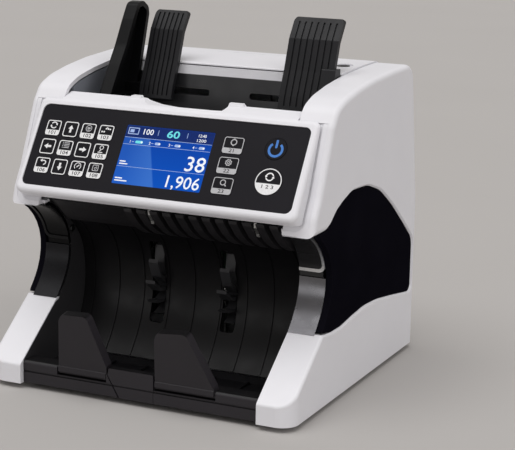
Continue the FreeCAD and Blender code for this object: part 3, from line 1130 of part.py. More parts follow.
screws = []
for (x, y) in ((-80, 60), (80, 60), (-80, 200), (80, 200), (0, 40), (0, 190)):
    q = pan_screw(2.9)
    q.translate(V(x, y, 0))
    screws.append(q)
for s in (1, -1):
    q = pan_screw(2.4)
    q.rotate(V(0, 0, 0), V(0, 1, 0), 90 * s)
    q.translate(V(s * S("plate_inner"), 70.6, 103.2))
    screws.append(q)
feature("case_screws", Part.makeCompound(screws))

# ---------------------------------------------------------- check and write out
doc.recompute()
problems = []
for o in doc.Objects:
    if "Invalid" in o.State or "Error" in o.State:
        problems.append("%s is %s" % (o.Label, o.State))
for label, o in NODES.items():
    if o.Shape.isNull() or not o.Shape.isValid():
        problems.append("%s has a bad shape" % label)
    elif not o.Shape.Solids:
        problems.append("%s has no solid" % label)
if problems:
    raise RuntimeError("; ".join(problems))
os.makedirs("parts", exist_ok=True)
lo = [1e9] * 3
hi = [-1e9] * 3
for label, o in NODES.items():
    o.Shape.exportStep(os.path.join("parts", label + ".step"))
    bb = o.Shape.BoundBox
    for i, (a, c) in enumerate(((bb.XMin, bb.XMax), (bb.YMin, bb.YMax), (bb.ZMin, bb.ZMax))):
        lo[i] = min(lo[i], a)
        hi[i] = max(hi[i], c)
    print("%-22s solids %d  vol %9.1f  box %s" % (label, len(o.Shape.Solids), o.Shape.Volume,
          " ".join("%.1f" % q for q in (bb.XMin, bb.XMax, bb.YMin, bb.YMax, bb.ZMin, bb.ZMax))))
print(len(NODES), "nodes; box", [round(q, 2) for q in lo], [round(q, 2) for q in hi])
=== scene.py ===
import math

import bpy
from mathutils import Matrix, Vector
from mathutils.geometry import tessellate_polygon


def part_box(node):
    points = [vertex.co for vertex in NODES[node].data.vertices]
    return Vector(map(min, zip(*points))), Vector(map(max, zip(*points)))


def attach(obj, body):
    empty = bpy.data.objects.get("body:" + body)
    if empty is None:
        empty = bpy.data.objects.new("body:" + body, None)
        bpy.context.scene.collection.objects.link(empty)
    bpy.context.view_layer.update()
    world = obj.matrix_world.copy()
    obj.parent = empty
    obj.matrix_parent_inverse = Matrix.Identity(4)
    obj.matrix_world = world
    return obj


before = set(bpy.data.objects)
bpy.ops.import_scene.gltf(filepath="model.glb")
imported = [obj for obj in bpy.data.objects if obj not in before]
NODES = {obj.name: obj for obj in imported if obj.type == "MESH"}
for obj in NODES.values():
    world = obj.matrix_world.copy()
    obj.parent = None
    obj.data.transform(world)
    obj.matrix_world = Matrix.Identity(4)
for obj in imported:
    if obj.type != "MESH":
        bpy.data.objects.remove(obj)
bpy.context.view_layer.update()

scene = bpy.context.scene
MM = 0.001

# ------------------------------------------------------------------ materials


class Net:
    """A small helper around one material's node tree."""

    def __init__(self, name):
        self.m = bpy.data.materials.new(name)
        self.m.use_nodes = True
        self.t = self.m.node_tree
        self.t.nodes.clear()
        self.out = self.t.nodes.new("ShaderNodeOutputMaterial")
        self.b = self.t.nodes.new("ShaderNodeBsdfPrincipled")
        self.link(self.b.outputs["BSDF"], self.out.inputs["Surface"])
        self.co = self.node("ShaderNodeTexCoord").outputs["Object"]

    def node(self, kind, **values):
        n = self.t.nodes.new(kind)
        for k, v in values.items():
            setattr(n, k, v)
        return n

    def link(self, a, b):
        self.t.links.new(a, b)

    def scaled(self, scale):
        n = self.node("ShaderNodeMapping")
        n.inputs["Scale"].default_value = scale
        self.link(self.co, n.inputs["Vector"])
        return n.outputs["Vector"]

    def noise(self, scale, detail=2.0, rough=0.5, vector=None):
        n = self.node("ShaderNodeTexNoise")
        n.inputs["Scale"].default_value = scale
        n.inputs["Detail"].default_value = detail
        n.inputs["Roughness"].default_value = rough
        self.link(vector if vector is not None else self.co, n.inputs["Vector"])
        return n.outputs["Fac"]

    def ramp(self, fac, lo, hi, a, b):
        n = self.node("ShaderNodeMapRange")
        n.inputs["From Min"].default_value = a
        n.inputs["From Max"].default_value = b
        n.inputs["To Min"].default_value = lo
        n.inputs["To Max"].default_value = hi
        self.link(fac, n.inputs["Value"])
        return n.outputs["Result"]

    def mix(self, fac, a, b):
        n = self.node("ShaderNodeMix", data_type="RGBA")
        self.link(fac, n.inputs[0])
        for sock, v in ((n.inputs[6], a), (n.inputs[7], b)):
            if hasattr(v, "links"):
                self.link(v, sock)
            else:
                sock.default_value = (v[0], v[1], v[2], 1.0)
        return n.outputs[2]

    def math(self, op, a, b=None):
        n = self.node("ShaderNodeMath", operation=op)
        for sock, v in ((n.inputs[0], a), (n.inputs[1], b)):
            if v is None:
                continue
            if hasattr(v, "links"):
                self.link(v, sock)
            else:
                sock.default_value = v
        return n.outputs[0]

    def axis(self, i):
        n = self.node("ShaderNodeSeparateXYZ")
        self.link(self.co, n.inputs[0])
        return n.outputs[i]

    def bump(self, height, strength, distance):
        n = self.node("ShaderNodeBump")
        n.inputs["Strength"].default_value = strength
        n.inputs["Distance"].default_value = distance
        self.link(height, n.inputs["Height"])
        self.link(n.outputs["Normal"], self.b.inputs["Normal"])


def shade(c, k):
    return tuple(min(1.0, x * k) for x in c)


def plastic(name, base, rough, grain=1400.0, bump=0.08, depth=0.00004, var=0.05, rough_var=0.06, metallic=0.0, coat=0.0,
            coat_rough=0.08, spec=0.5, tint=None, hollow_shade=0.0, stretch=(1, 1, 1)):
    """A moulded or painted surface: cloudy colour, uneven gloss, fine grain in the normal, and painted shade darkening
    the hollows found by ambient occlusion.
    """
    n = Net(name)
    v = n.scaled(stretch)
    cloud = n.noise(22.0, 3.0, 0.55, v)
    c = n.mix(n.ramp(cloud, 0.0, 1.0, 0.3, 0.7), shade(base, 1.0 - var), tint if tint else shade(base, 1.0 + var))
    if hollow_shade:
        # painted shade: hollows found by ambient occlusion are darkened towards a third of the base colour
        ao = n.node("ShaderNodeAmbientOcclusion", samples=8)
        ao.inputs["Distance"].default_value = 0.004
        k = n.ramp(ao.outputs["AO"], hollow_shade, 0.0, 0.25, 0.95)
        c = n.mix(k, c, shade(base, 0.35))
    n.link(c, n.b.inputs["Base Color"])
    patch = n.noise(60.0, 4.0, 0.6, v)
    n.link(n.ramp(patch, max(0.02, rough - rough_var), rough + rough_var, 0.3, 0.7), n.b.inputs["Roughness"])
    fine = n.noise(grain, 3.0, 0.6, v)
    if bump:
        n.bump(fine, bump, depth)
    n.b.inputs["Metallic"].default_value = metallic
    n.b.inputs["Specular IOR Level"].default_value = spec
    if coat:
        n.b.inputs["Coat Weight"].default_value = coat
        n.b.inputs["Coat Roughness"].default_value = coat_rough
    return n


WHITE = (0.808, 0.804, 0.843)
white = plastic("moulded_white", WHITE, 0.38, grain=1500.0, bump=0.06, var=0.012, rough_var=0.05, hollow_shade=0.22, spec=0.35).m
gloss = plastic("polished_black", (0.0130, 0.0128, 0.0140), 0.15, grain=900.0, bump=0.015, var=0.10, rough_var=0.04, spec=0.5).m
panel_black = plastic("side_panel_black", (0.0056, 0.0052, 0.0080), 0.30, grain=1100.0, bump=0.03, var=0.14, rough_var=0.06, spec=0.0).m
film = plastic("panel_film_black", (0.0165, 0.0157, 0.0190), 0.40, grain=1700.0, bump=0.05, var=0.05, rough_var=0.04, spec=0.06).m
cap = plastic("key_film_black", (0.0130, 0.0124, 0.0150), 0.36, grain=1700.0, bump=0.04, var=0.06, rough_var=0.04, spec=0.06).m
bar_net = plastic("bar_charcoal", (0.0225, 0.0200, 0.0240), 0.44, grain=1300.0, bump=0.10, var=0.06, rough_var=0.06, hollow_shade=0.2, spec=0.3)
# painted reflection: faces turned upwards are darkened to near black by their normal, standing in for the dark sheen on
# the glossy tops; the fronts keep the charcoal tone
up_facing = bar_net.node("ShaderNodeSeparateXYZ")
bar_net.link(bar_net.node("ShaderNodeTexCoord").outputs["Normal"], up_facing.inputs[0])
front_tone = bar_net.b.inputs["Base Color"].links[0].from_socket
bar_net.link(bar_net.mix(bar_net.ramp(up_facing.outputs[2], 0.0, 1.0, 0.55, 0.85), front_tone, (0.0050, 0.0046, 0.0054)), bar_net.b.inputs["Base Color"])
bar_dark = bar_net.m
guide_dark = plastic("guide_black", (0.0100, 0.0100, 0.0120), 0.42, grain=1300.0, bump=0.08, var=0.08, rough_var=0.07, hollow_shade=0.2, spec=0.3).m
fence_dark = plastic("fence_black", (0.0035, 0.0035, 0.0042), 0.34, grain=1300.0, bump=0.05, var=0.12, rough_var=0.06, spec=0.16).m
mouth_dark = plastic("mouth_black", (0.0165, 0.0155, 0.0175), 0.42, grain=1200.0, bump=0.08, var=0.10, rough_var=0.06, spec=0.35).m
# painted shade: the stacker back and tray are darker than the black plastic around them, standing in for the shade deep
# in the mouth
mouth_shaded = plastic("mouth_deep_black", (0.0066, 0.0063, 0.0072), 0.38, grain=1200.0, bump=0.06, var=0.10, rough_var=0.06, spec=0.20).m
rubber = plastic("roller_rubber", (0.020, 0.020, 0.020), 0.72, grain=900.0, bump=0.35, depth=0.00008, var=0.16, rough_var=0.08).m
wheel = plastic("wheel_polymer", (0.028, 0.028, 0.031), 0.5, grain=1200.0, bump=0.1, var=0.10, rough_var=0.06).m
foot = plastic("foot_rubber", (0.022, 0.022, 0.022), 0.8, grain=700.0, bump=0.4, depth=0.0001, var=0.15).m
sensor = plastic("sensor_window", (0.02, 0.008, 0.012), 0.12, grain=900.0, bump=0.01, var=0.2, rough_var=0.03, coat=0.4).m


def brushed(name, base, rough, along="X", metallic=1.0, coarse=1.0, pits=0.0):
    """Metal with fine lines drawn out along one axis, uneven gloss and faint blotches."""
    n = Net(name)
    k = {"X": (0.02, 1, 1), "Y": (1, 0.02, 1), "Z": (1, 1, 0.02)}[along]
    v = n.scaled(k)
    lines = n.noise(2600.0 * coarse, 3.0, 0.6, v)
    blotch = n.noise(35.0, 3.0, 0.5)
    c = n.mix(n.ramp(lines, 0.0, 1.0, 0.3, 0.7), shade(base, 0.86), shade(base, 1.1))
    c = n.mix(n.ramp(blotch, 0.0, 0.35, 0.35, 0.75), c, shade(base, 0.8))
    n.link(c, n.b.inputs["Base Color"])
    n.link(n.ramp(lines, rough - 0.06, rough + 0.08, 0.3, 0.7), n.b.inputs["Roughness"])
    n.b.inputs["Metallic"].default_value = metallic
    n.bump(lines, 0.12, 0.00003)
    return n


shaft_steel = brushed("ground_steel", (0.50, 0.50, 0.51), 0.28).m
zinc = brushed("zinc_plate", (0.55, 0.55, 0.54), 0.30, along="Z", coarse=0.7).m
knob_dark = plastic("screw_black_oxide", (0.035, 0.035, 0.036), 0.34, metallic=0.8, var=0.2, rough_var=0.08).m
sheet_metal = brushed("sheet_aluminium", (0.62, 0.62, 0.62), 0.36, along="Y", coarse=0.5).m
motor_steel = brushed("motor_can", (0.42, 0.42, 0.43), 0.33, along="X", coarse=0.8).m
brass = brushed("contact_brass", (0.72, 0.60, 0.36), 0.28, along="Y").m


def frame_paint():
    """Side frame: near black in the stacker, dark slate in the hopper, with a soft change between them."""
    n = Net("frame_slate")
    z = n.axis(2)
    up = n.ramp(z, 0.0, 1.0, 0.180, 0.196)
    cloud = n.noise(25.0, 3.0, 0.55)
    low = n.mix(n.ramp(cloud, 0.0, 1.0, 0.3, 0.7), (0.0340, 0.0330, 0.0360), (0.0420, 0.0410, 0.0440))
    high = n.mix(n.ramp(cloud, 0.0, 1.0, 0.3, 0.7), (0.235, 0.248, 0.285), (0.270, 0.285, 0.325))
    n.link(n.mix(up, low, high), n.b.inputs["Base Color"])
    n.link(n.ramp(n.noise(70.0, 3.0), 0.32, 0.46, 0.3, 0.7), n.b.inputs["Roughness"])
    n.bump(n.noise(1300.0, 3.0), 0.08, 0.00004)
    return n.m


def board(name, base, lighter):
    """Solder mask with tracks: a fine orthogonal net of slightly lighter lines."""
    n = Net(name)
    w1 = n.node("ShaderNodeTexBrick")
    w1.inputs["Scale"].default_value = 260.0
    w1.inputs["Mortar Size"].default_value = 0.035
    w1.inputs["Color1"].default_value = (0, 0, 0, 1)
    w1.inputs["Color2"].default_value = (0.12, 0.12, 0.12, 1)
    w1.inputs["Mortar"].default_value = (1, 1, 1, 1)
    n.link(n.co, w1.inputs["Vector"])
    gate = n.math("GREATER_THAN", n.noise(70.0, 1.0), 0.5)
    k = n.math("MULTIPLY", w1.outputs["Color"], gate)
    n.link(n.mix(k, base, lighter), n.b.inputs["Base Color"])
    n.link(n.ramp(n.noise(90.0, 2.0), 0.28, 0.42, 0.3, 0.7), n.b.inputs["Roughness"])
    n.bump(k, 0.25, 0.00004)
    return n.m


def trim_lit_and_shaded():
    """Thin bright edging of one chromed moulding, with painted shade on the left-hand piece making it dull and dark
    while the right-hand piece stays chromed.
    """
    n = Net("satin_trim")
    lines = n.noise(2600.0, 3.0, 0.6, n.scaled((0.02, 1, 1)))
    # painted shade: below x zero the trim turns dark, dull and non-metallic
    side = n.ramp(n.axis(0), 0.0, 1.0, -0.02, 0.02)
    col = n.mix(side, (0.012, 0.012, 0.013), (0.86, 0.86, 0.87))
    n.link(n.mix(n.ramp(lines, 0.0, 0.25, 0.3, 0.7), col, n.mix(side, (0.010, 0.010, 0.011), (0.30, 0.30, 0.31))), n.b.inputs["Base Color"])
    n.link(n.ramp(lines, 0.24, 0.38, 0.3, 0.7), n.b.inputs["Roughness"])
    n.link(n.ramp(side, 0.0, 1.0, 0.0, 1.0), n.b.inputs["Metallic"])
    n.link(n.ramp(side, 0.1, 0.5, 0.0, 1.0), n.b.inputs["Specular IOR Level"])
    n.bump(lines, 0.12, 0.00003)
    return n.m


def painted_side_shade(name, left, right, rough, spec_left, spec_right, metallic=0.0):
    """One moulding in one finish, with painted shade on the left-hand piece making it dull and dark, and the right-hand
    piece brighter.
    """
    n = Net(name)
    side = n.ramp(n.axis(0), 0.0, 1.0, -0.02, 0.02)
    cloud = n.ramp(n.noise(30.0, 3.0, 0.55), 0.0, 1.0, 0.3, 0.7)
    dark = n.mix(side, shade(left, 0.9), shade(right, 0.9))
    light = n.mix(side, shade(left, 1.1), shade(right, 1.1))
    n.link(n.mix(cloud, dark, light), n.b.inputs["Base Color"])
    n.link(n.ramp(n.noise(70.0, 3.0), rough - 0.04, rough + 0.04, 0.3, 0.7), n.b.inputs["Roughness"])
    n.link(n.ramp(side, spec_left, spec_right, 0.0, 1.0), n.b.inputs["Specular IOR Level"])
    if metallic:
        n.link(n.ramp(side, metallic * 0.3, metallic, 0.0, 1.0), n.b.inputs["Metallic"])
    n.bump(n.noise(1500.0, 3.0), 0.03, 0.00003)
    return n.m


def wall_paint():
    """Hopper sheet: slate paint, with the white of the rear cover carried over its top edge."""
    n = Net("hopper_paint")
    z = n.axis(2)
    cloud = n.ramp(n.noise(25.0, 3.0, 0.55), 0.0, 1.0, 0.3, 0.7)
    body_colour = n.mix(cloud, (0.0165, 0.0165, 0.0185), (0.0215, 0.0215, 0.0240))
    top = n.mix(cloud, shade(WHITE, 0.97), shade(WHITE, 1.02))
    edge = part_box("hopper_floor")[1][2] - 0.0068
    n.link(n.mix(n.ramp(z, 0.0, 1.0, edge - 0.0002, edge + 0.0002), body_colour, top), n.b.inputs["Base Color"])
    n.link(n.ramp(n.noise(70.0, 3.0), 0.34, 0.46, 0.3, 0.7), n.b.inputs["Roughness"])
    n.bump(n.noise(1300.0, 3.0), 0.08, 0.00004)
    return n.m


slate = frame_paint()
hopper_paint = wall_paint()
# painted shade: the left-hand upper and lower strips are darker, duller copies of the right-hand ones
strip_gloss = painted_side_shade("strip_black", (0.0035, 0.0035, 0.0040), (0.0170, 0.0170, 0.0182), 0.18, 0.10, 0.34)
strip_grey = painted_side_shade("strip_grey", (0.016, 0.016, 0.018), (0.142, 0.140, 0.149), 0.28, 0.12, 0.5, metallic=0.92)
trim_steel = trim_lit_and_shaded()
green = board("solder_mask_green", (0.010, 0.070, 0.024), (0.05, 0.20, 0.08))


def ink(name, colour, rough=0.45, glow=None, strength=0.0, spec=0.4):
    """Printed ink: slight unevenness in its colour and gloss."""
    n = Net(name)
    c = n.noise(900.0, 3.0, 0.6)
    n.link(n.mix(n.ramp(c, 0.0, 1.0, 0.3, 0.7), shade(colour, 0.9), shade(colour, 1.04)), n.b.inputs["Base Color"])
    n.link(n.ramp(c, rough - 0.06, rough + 0.06, 0.3, 0.7), n.b.inputs["Roughness"])
    if glow:
        n.link(n.mix(n.ramp(c, 0.0, 1.0, 0.35, 0.65), shade(glow, 0.75), glow), n.b.inputs["Emission Color"])
        n.b.inputs["Emission Strength"].default_value = strength
    n.b.inputs["Specular IOR Level"].default_value = spec
    return n.m


white_ink = ink("legend_white", (0.85, 0.85, 0.86))
grey_ink = ink("legend_grey", (0.50, 0.50, 0.52))
black_ink = ink("legend_black", (0.015, 0.015, 0.018))
blue_glow = ink("power_blue", (0.03, 0.10, 0.30), glow=(0.03, 0.17, 0.50), strength=0.62)
# plain white for the small pieces under five rib ends
marker = ink("rib_end_white", (0.75, 0.76, 0.80), rough=0.3)
screen_white = ink("screen_white", (0.2, 0.2, 0.2), glow=(0.92, 0.95, 1.0), strength=0.92, spec=0.02)
screen_soft = ink("screen_soft", (0.1, 0.12, 0.2), glow=(0.40, 0.55, 0.88), strength=0.8, spec=0.02)
screen_cyan = ink("screen_cyan", (0.05, 0.2, 0.2), glow=(0.16, 0.72, 0.80), strength=0.9, spec=0.02)
screen_navy = ink("screen_navy", (0.01, 0.02, 0.06), glow=(0.002, 0.012, 0.12), strength=0.9, spec=0.02)

# --------------------------------------------------- panel frame of reference
TILT = math.radians(57.07)
U = Vector((1, 0, 0))
V = Vector((0, math.cos(TILT), math.sin(TILT)))
N = Vector((0, -math.sin(TILT), math.cos(TILT)))


def middle(node):
    lo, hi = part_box(node)
    return (lo + hi) / 2


ORIGIN = middle("panel_overlay") + N * 0.8 * MM      # centre of the film's upper surface


def on_panel(u, v, n):
    return ORIGIN + U * u * MM + V * v * MM + N * n * MM


def key_top(node):
    """Centre of a key's upper face, 0.35 mm above the film."""
    d = middle(node) - ORIGIN
    return on_panel(d.dot(U) / MM, d.dot(V) / MM, 0.35)


def screen_material():
    """Lit display: deep blue that brightens downwards, a slanted lighter area, and faint pixel rows under glass."""
    n = Net("display_glass")
    sep = n.node("ShaderNodeSeparateXYZ")
    n.link(n.co, sep.inputs[0])
    x, z = sep.outputs[0], sep.outputs[2]
    lo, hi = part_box("display_lcd")
    down = n.ramp(z, 0.0, 1.0, hi[2] - 0.006, lo[2] + 0.004)
    col = n.mix(down, (0.003, 0.060, 0.42), (0.002, 0.100, 0.60))
    side = n.math("ADD", x, n.math("MULTIPLY", z, 0.42))
    edge = -0.0085 + 0.42 * middle("display_lcd")[2]
    light = n.ramp(side, 0.55, 0.0, edge - 0.0006, edge + 0.0006)
    left = n.ramp(x, 0.35, 1.0, -0.030, -0.006)
    col = n.mix(n.math("MULTIPLY", light, left), col, (0.085, 0.27, 0.78))
    rows = n.node("ShaderNodeTexWave", wave_type="BANDS", bands_direction="Z")
    rows.inputs["Scale"].default_value = 900.0
    n.link(n.co, rows.inputs["Vector"])
    col = n.mix(n.ramp(rows.outputs["Fac"], 0.0, 0.10, 0.0, 1.0), col, (0.0, 0.02, 0.12))
    n.link(col, n.b.inputs["Emission Color"])
    n.b.inputs["Emission Strength"].default_value = 0.86
    n.b.inputs["Base Color"].default_value = (0.004, 0.006, 0.02, 1)
    n.link(n.ramp(n.noise(50.0, 2.0), 0.10, 0.20, 0.3, 0.7), n.b.inputs["Roughness"])
    n.b.inputs["Specular IOR Level"].default_value = 0.015
    return n.m


display = screen_material()

BY_NODE = {
    "side_shell_right": white, "side_shell_left": white, "control_bezel": white, "base_pan": white, "rear_door": white,
    "side_panel_right": panel_black, "side_panel_left": panel_black,
    "mouth_strips_upper": strip_gloss, "mouth_strips_lower": strip_grey, "mouth_trims": trim_steel,
    "side_frame_right": slate, "side_frame_left": slate, "hopper_floor": hopper_paint,
    "front_bar": bar_dark, "bar_centre": bar_dark, "stop_plate_left": bar_dark, "stop_plate_right": bar_dark,
    "stacker_tray": mouth_shaded, "stacker_back": mouth_shaded, "exit_comb": mouth_dark,
    "panel_overlay": film, "display_lcd": display, "panel_board": green, "main_board": green,
    "rear_rest_right": guide_dark, "rear_rest_left": guide_dark, "side_guide_left": fence_dark,
    "feed_shaft": shaft_steel, "carry_shaft": shaft_steel, "stacking_shaft": shaft_steel, "motor_pulley": shaft_steel,
    "feed_rollers": rubber, "carry_rollers": rubber, "drive_belt": rubber, "stacking_wheels": wheel,
    "drive_motor": motor_steel, "power_supply": sheet_metal, "sensor_bars": sensor,
    "power_inlet": bar_dark, "power_rocker": gloss, "gap_screw": knob_dark, "rubber_feet": foot, "case_screws": knob_dark,
    "power_key": cap, "restart_key": cap,
}
for name, obj in NODES.items():
    m = BY_NODE.get(name, cap)
    obj.data.materials.clear()
    obj.data.materials.append(m)

# ----------------------------------------------------------- flat print helper


class Print:
    """Thin closed slabs of ink laid on a plane, gathered into one mesh."""

    def __init__(self, name, base, body, slot, axes=(U, V, N)):
        self.name, self.base, self.body, self.slot_name, self.axes = name, base, body, slot, axes
        self.verts, self.faces, self.mats, self.kinds = [], [], [], []

    def kind(self, m):
        if m not in self.kinds:
            self.kinds.append(m)
        return self.kinds.index(m)

    def add(self, p, n):
        a, b, c = self.axes
        self.verts.append(self.base + a * p[0] * MM + b * p[1] * MM + c * n * MM)
        return len(self.verts) - 1

    def fill(self, loop, m, lo=0.0, hi=0.05, holes=()):
        k = self.kind(m)
        loops = [list(loop)] + [list(h) for h in holes]
        low = [[self.add(p, lo) for p in lp] for lp in loops]
        high = [[self.add(p, hi) for p in lp] for lp in loops]
        flat_low = [i for lp in low for i in lp]
        flat_high = [i for lp in high for i in lp]
        tris = tessellate_polygon([[Vector((p[0], p[1], 0)) for p in lp] for lp in loops])
        pts = [p for lp in loops for p in lp]
        for t in tris:
            a, b, c = (pts[i] for i in t)
            area = (b[0] - a[0]) * (c[1] - a[1]) - (b[1] - a[1]) * (c[0] - a[0])
            if abs(area) < 1e-9:
                continue
            up = t if area > 0 else tuple(reversed(t))
            self.faces.append(tuple(flat_high[i] for i in up))
            self.faces.append(tuple(flat_low[i] for i in reversed(up)))
            self.mats += [k, k]
        for j, lp in enumerate(loops):
            s = sum(lp[i][0] * lp[(i + 1) % len(lp)][1] - lp[(i + 1) % len(lp)][0] * lp[i][1] for i in range(len(lp)))
            out = (s > 0) == (j == 0)
            for i in range(len(lp)):
                i2 = (i + 1) % len(lp)
                q = (low[j][i], low[j][i2], high[j][i2], high[j][i])
                self.faces.append(q if out else tuple(reversed(q)))
                self.mats.append(k)

    def ring(self, outer, inner, m, lo=0.0, hi=0.05):
        self.fill(outer, m, lo, hi, holes=(inner,))

    def stroke(self, pts, width, m, lo=0.0, hi=0.05):
        """An open line of even width with square ends."""
        left, right = [], []
        n = len(pts)
        for i in range(n):
            a, b = pts[max(i - 1, 0)], pts[min(i + 1, n - 1)]
            dx, dy = b[0] - a[0], b[1] - a[1]
            d = math.hypot(dx, dy) or 1.0
            nx, ny = -dy / d * width / 2, dx / d * width / 2
            left.append((pts[i][0] + nx, pts[i][1] + ny))
            right.append((pts[i][0] - nx, pts[i][1] - ny))
        self.fill(left + right[::-1], m, lo, hi)

    def text(self, words, size, u, v, m, lo=0.0, hi=0.05, align="CENTER", wide=1.0, heavy=0.0, lean=0.0):
        """Plain figures set with the built-in face, laid into the same mesh."""
        c = bpy.data.curves.new("figures", "FONT")
        c.body = words
        c.size = 1.0
        c.align_x = align
        c.align_y = "BOTTOM_BASELINE"
        c.extrude = 0.5
        c.offset = heavy
        c.resolution_u = 3
        o = bpy.data.objects.new("figures", c)
        scene.collection.objects.link(o)
        bpy.context.view_layer.update()
        me = bpy.data.meshes.new_from_object(o.evaluated_get(bpy.context.evaluated_depsgraph_get()))
        k = self.kind(m)
        start = len(self.verts)
        cap_high = max(x.co.y for x in me.vertices)
        s = size / cap_high
        for x in me.vertices:
            h = lo if x.co.z < 0 else hi
            self.add((u + (x.co.x * wide + x.co.y * lean) * s, v + x.co.y * s), h)
        for f in me.polygons:
            self.faces.append(tuple(start + i for i in f.vertices))
            self.mats.append(k)
        bpy.data.objects.remove(o)
        bpy.data.curves.remove(c)
        bpy.data.meshes.remove(me)

    def done(self):
        me = bpy.data.meshes.new(self.name)
        me.from_pydata([tuple(v) for v in self.verts], [], self.faces)
        for m in self.kinds:
            me.materials.append(m)
        for i, f in enumerate(me.polygons):
            f.material_index = self.mats[i]
        me.validate()
        me.update()
        o = bpy.data.objects.new(self.name, me)
        scene.collection.objects.link(o)
        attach(o, self.body)
        return o


def rrect(x0, y0, x1, y1, r, n=6, corners=(1, 1, 1, 1)):
    """Rounded rectangle, counter-clockwise from the lower left; corners switches each rounding on or off."""
    out = []
    for i, (cx, cy, a0) in enumerate(((x0 + r, y0 + r, 180), (x1 - r, y0 + r, 270), (x1 - r, y1 - r, 0), (x0 + r, y1 - r, 90))):
        if corners[i]:
            for k in range(n + 1):
                a = math.radians(a0 + 90.0 * k / n)
                out.append((cx + r * math.cos(a), cy + r * math.sin(a)))
        else:
            out.append([(x0, y0), (x1, y0), (x1, y1), (x0, y1)][i])
    return out


def disc(cx, cy, r, n=28):
    return [(cx + r * math.cos(2 * math.pi * k / n), cy + r * math.sin(2 * math.pi * k / n)) for k in range(n)]


def arc(cx, cy, r, a0, a1, n=16):
    return [(cx + r * math.cos(math.radians(a0 + (a1 - a0) * k / n)), cy + r * math.sin(math.radians(a0 + (a1 - a0) * k / n)))
            for k in range(n + 1)]


def head(p, cx, cy, r, a, size, m, turn=1):
    """Arrow head at angle a on a circle, pointing along the turn."""
    t = math.radians(a)
    px, py = cx + r * math.cos(t), cy + r * math.sin(t)
    dx, dy = -math.sin(t) * turn, math.cos(t) * turn
    nx, ny = math.cos(t), math.sin(t)
    tri = [(px - nx * size * 0.55, py - ny * size * 0.55), (px + nx * size * 0.55, py + ny * size * 0.55), (px + dx * size * 0.8, py + dy * size * 0.8)]
    s = sum(tri[i][0] * tri[(i + 1) % 3][1] - tri[(i + 1) % 3][0] * tri[i][1] for i in range(3))
    p.fill(tri if s > 0 else tri[::-1], m)


def arrow(p, angle, m, cx=0.0, cy=0.2):
    """Block arrow pointing along angle."""
    pts = [(-2.9, -0.85), (0.1, -0.85), (0.1, -2.1), (3.1, 0.0), (0.1, 2.1), (0.1, 0.85), (-2.9, 0.85)]
    a = math.radians(angle)
    p.fill([(cx + x * math.cos(a) - y * math.sin(a), cy + x * math.sin(a) + y * math.cos(a)) for x, y in pts], m)


# ---------------------------------------------------------------- key legends
def key_face(node, body, half_w, half_h, label, icon, border=white_ink, thin=0.72, strip=0.355):
    p = Print("legend_" + node, key_top(node), body, "key_plastic")
    w, h = half_w - 0.22, half_h - 0.22
    p.ring(rrect(-w, -h, w, h, 1.8), rrect(-w + thin, -h + thin, w - thin, h - thin, 1.15), border)
    if label:
        y1 = -h + 2 * h * strip
        p.fill(rrect(-w + thin * 0.4, -h + thin * 0.4, w - thin * 0.4, y1, 1.4, corners=(1, 1, 0, 0)), border, hi=0.055)
        p.text(label, 2.75, 0.0, -h + 0.95, black_ink, lo=0.05, hi=0.075, wide=1.25, heavy=0.012)
    icon(p)
    p.done()


def icon_cycle(p, cy=2.1, r=2.35, w=0.85, m=white_ink):
    p.stroke(arc(0, cy, r, 25, 150), w, m)
    p.stroke(arc(0, cy, r, 205, 330), w, m)
    head(p, 0, cy, r, 25, 1.7, m, turn=-1)
    head(p, 0, cy, r, 205, 1.7, m, turn=-1)


def icon_ring_tray(p):
    p.ring(disc(0, 2.1, 2.6), disc(0, 2.1, 2.05), grey_ink)
    p.fill(rrect(-1.35, 1.7, 1.35, 2.9, 0.4), grey_ink)
    p.fill(rrect(-0.8, 0.5, 0.8, 1.2, 0.2), grey_ink)


def icon_blocks(p):
    for (x, y, s) in ((-3.3, 0.7, 1.0), (-1.6, 0.7, 1.0), (-0.4, 3.2, 1.0), (1.3, 3.1, 1.0), (2.9, 2.9, 0.9), (0.4, 4.0, 0.7)):
        p.fill(rrect(x - s * 0.62, y - s * 0.62, x + s * 0.62, y + s * 0.62, 0.25), white_ink)


def icon_list(p):
    for i in range(4):
        y = 4.1 - i * 1.25
        p.fill(rrect(-2.9, y - 0.3, -2.2, y + 0.3, 0.12), grey_ink)
        p.fill(rrect(-1.6, y - 0.3, 2.9, y + 0.3, 0.12), grey_ink)


def icon_sum(p):
    p.ring(disc(0.35, 3.2, 1.7), disc(0.35, 3.2, 1.2), white_ink)
    p.stroke([(0.6, 1.9), (-1.0, 0.2)], 0.6, white_ink)
    p.fill(rrect(-2.0, -0.9, 1.9, -0.25, 0.2), white_ink)


def icon_back(p):
    p.stroke([(-0.9, 3.6), (0.8, 3.6)] + arc(0.8, 2.05, 1.55, 80, -95, 12), 0.8, white_ink)
    p.fill([(-2.6, 3.6), (-0.7, 2.3), (-0.7, 4.9)], white_ink)


def icon_gauge(p):
    p.stroke(arc(0, 2.0, 2.6, -50, 230, 22), 0.55, white_ink)
    p.stroke([(-0.5, 1.4), (1.2, 3.1)], 0.8, white_ink)
    p.fill(disc(-0.35, 1.55, 0.6, 12), white_ink)


def icon_page(p):
    p.ring(rrect(-2.5, -0.3, 2.5, 4.6, 0.8), rrect(-1.95, 0.25, 1.95, 4.05, 0.4), grey_ink)
    p.ring(disc(0.1, 1.7, 1.05, 18), disc(0.1, 1.7, 0.6, 18), grey_ink)
    p.stroke([(0.4, 3.0), (1.3, 3.0)], 0.5, grey_ink)


def icon_ring(p):
    p.ring(disc(0, 2.4, 2.5), disc(0, 2.4, 1.75), grey_ink)
    p.fill(rrect(-0.5, 4.6, 0.5, 5.3, 0.1), grey_ink)
    p.fill(rrect(-0.5, -0.5, 0.5, 0.2, 0.1), grey_ink)


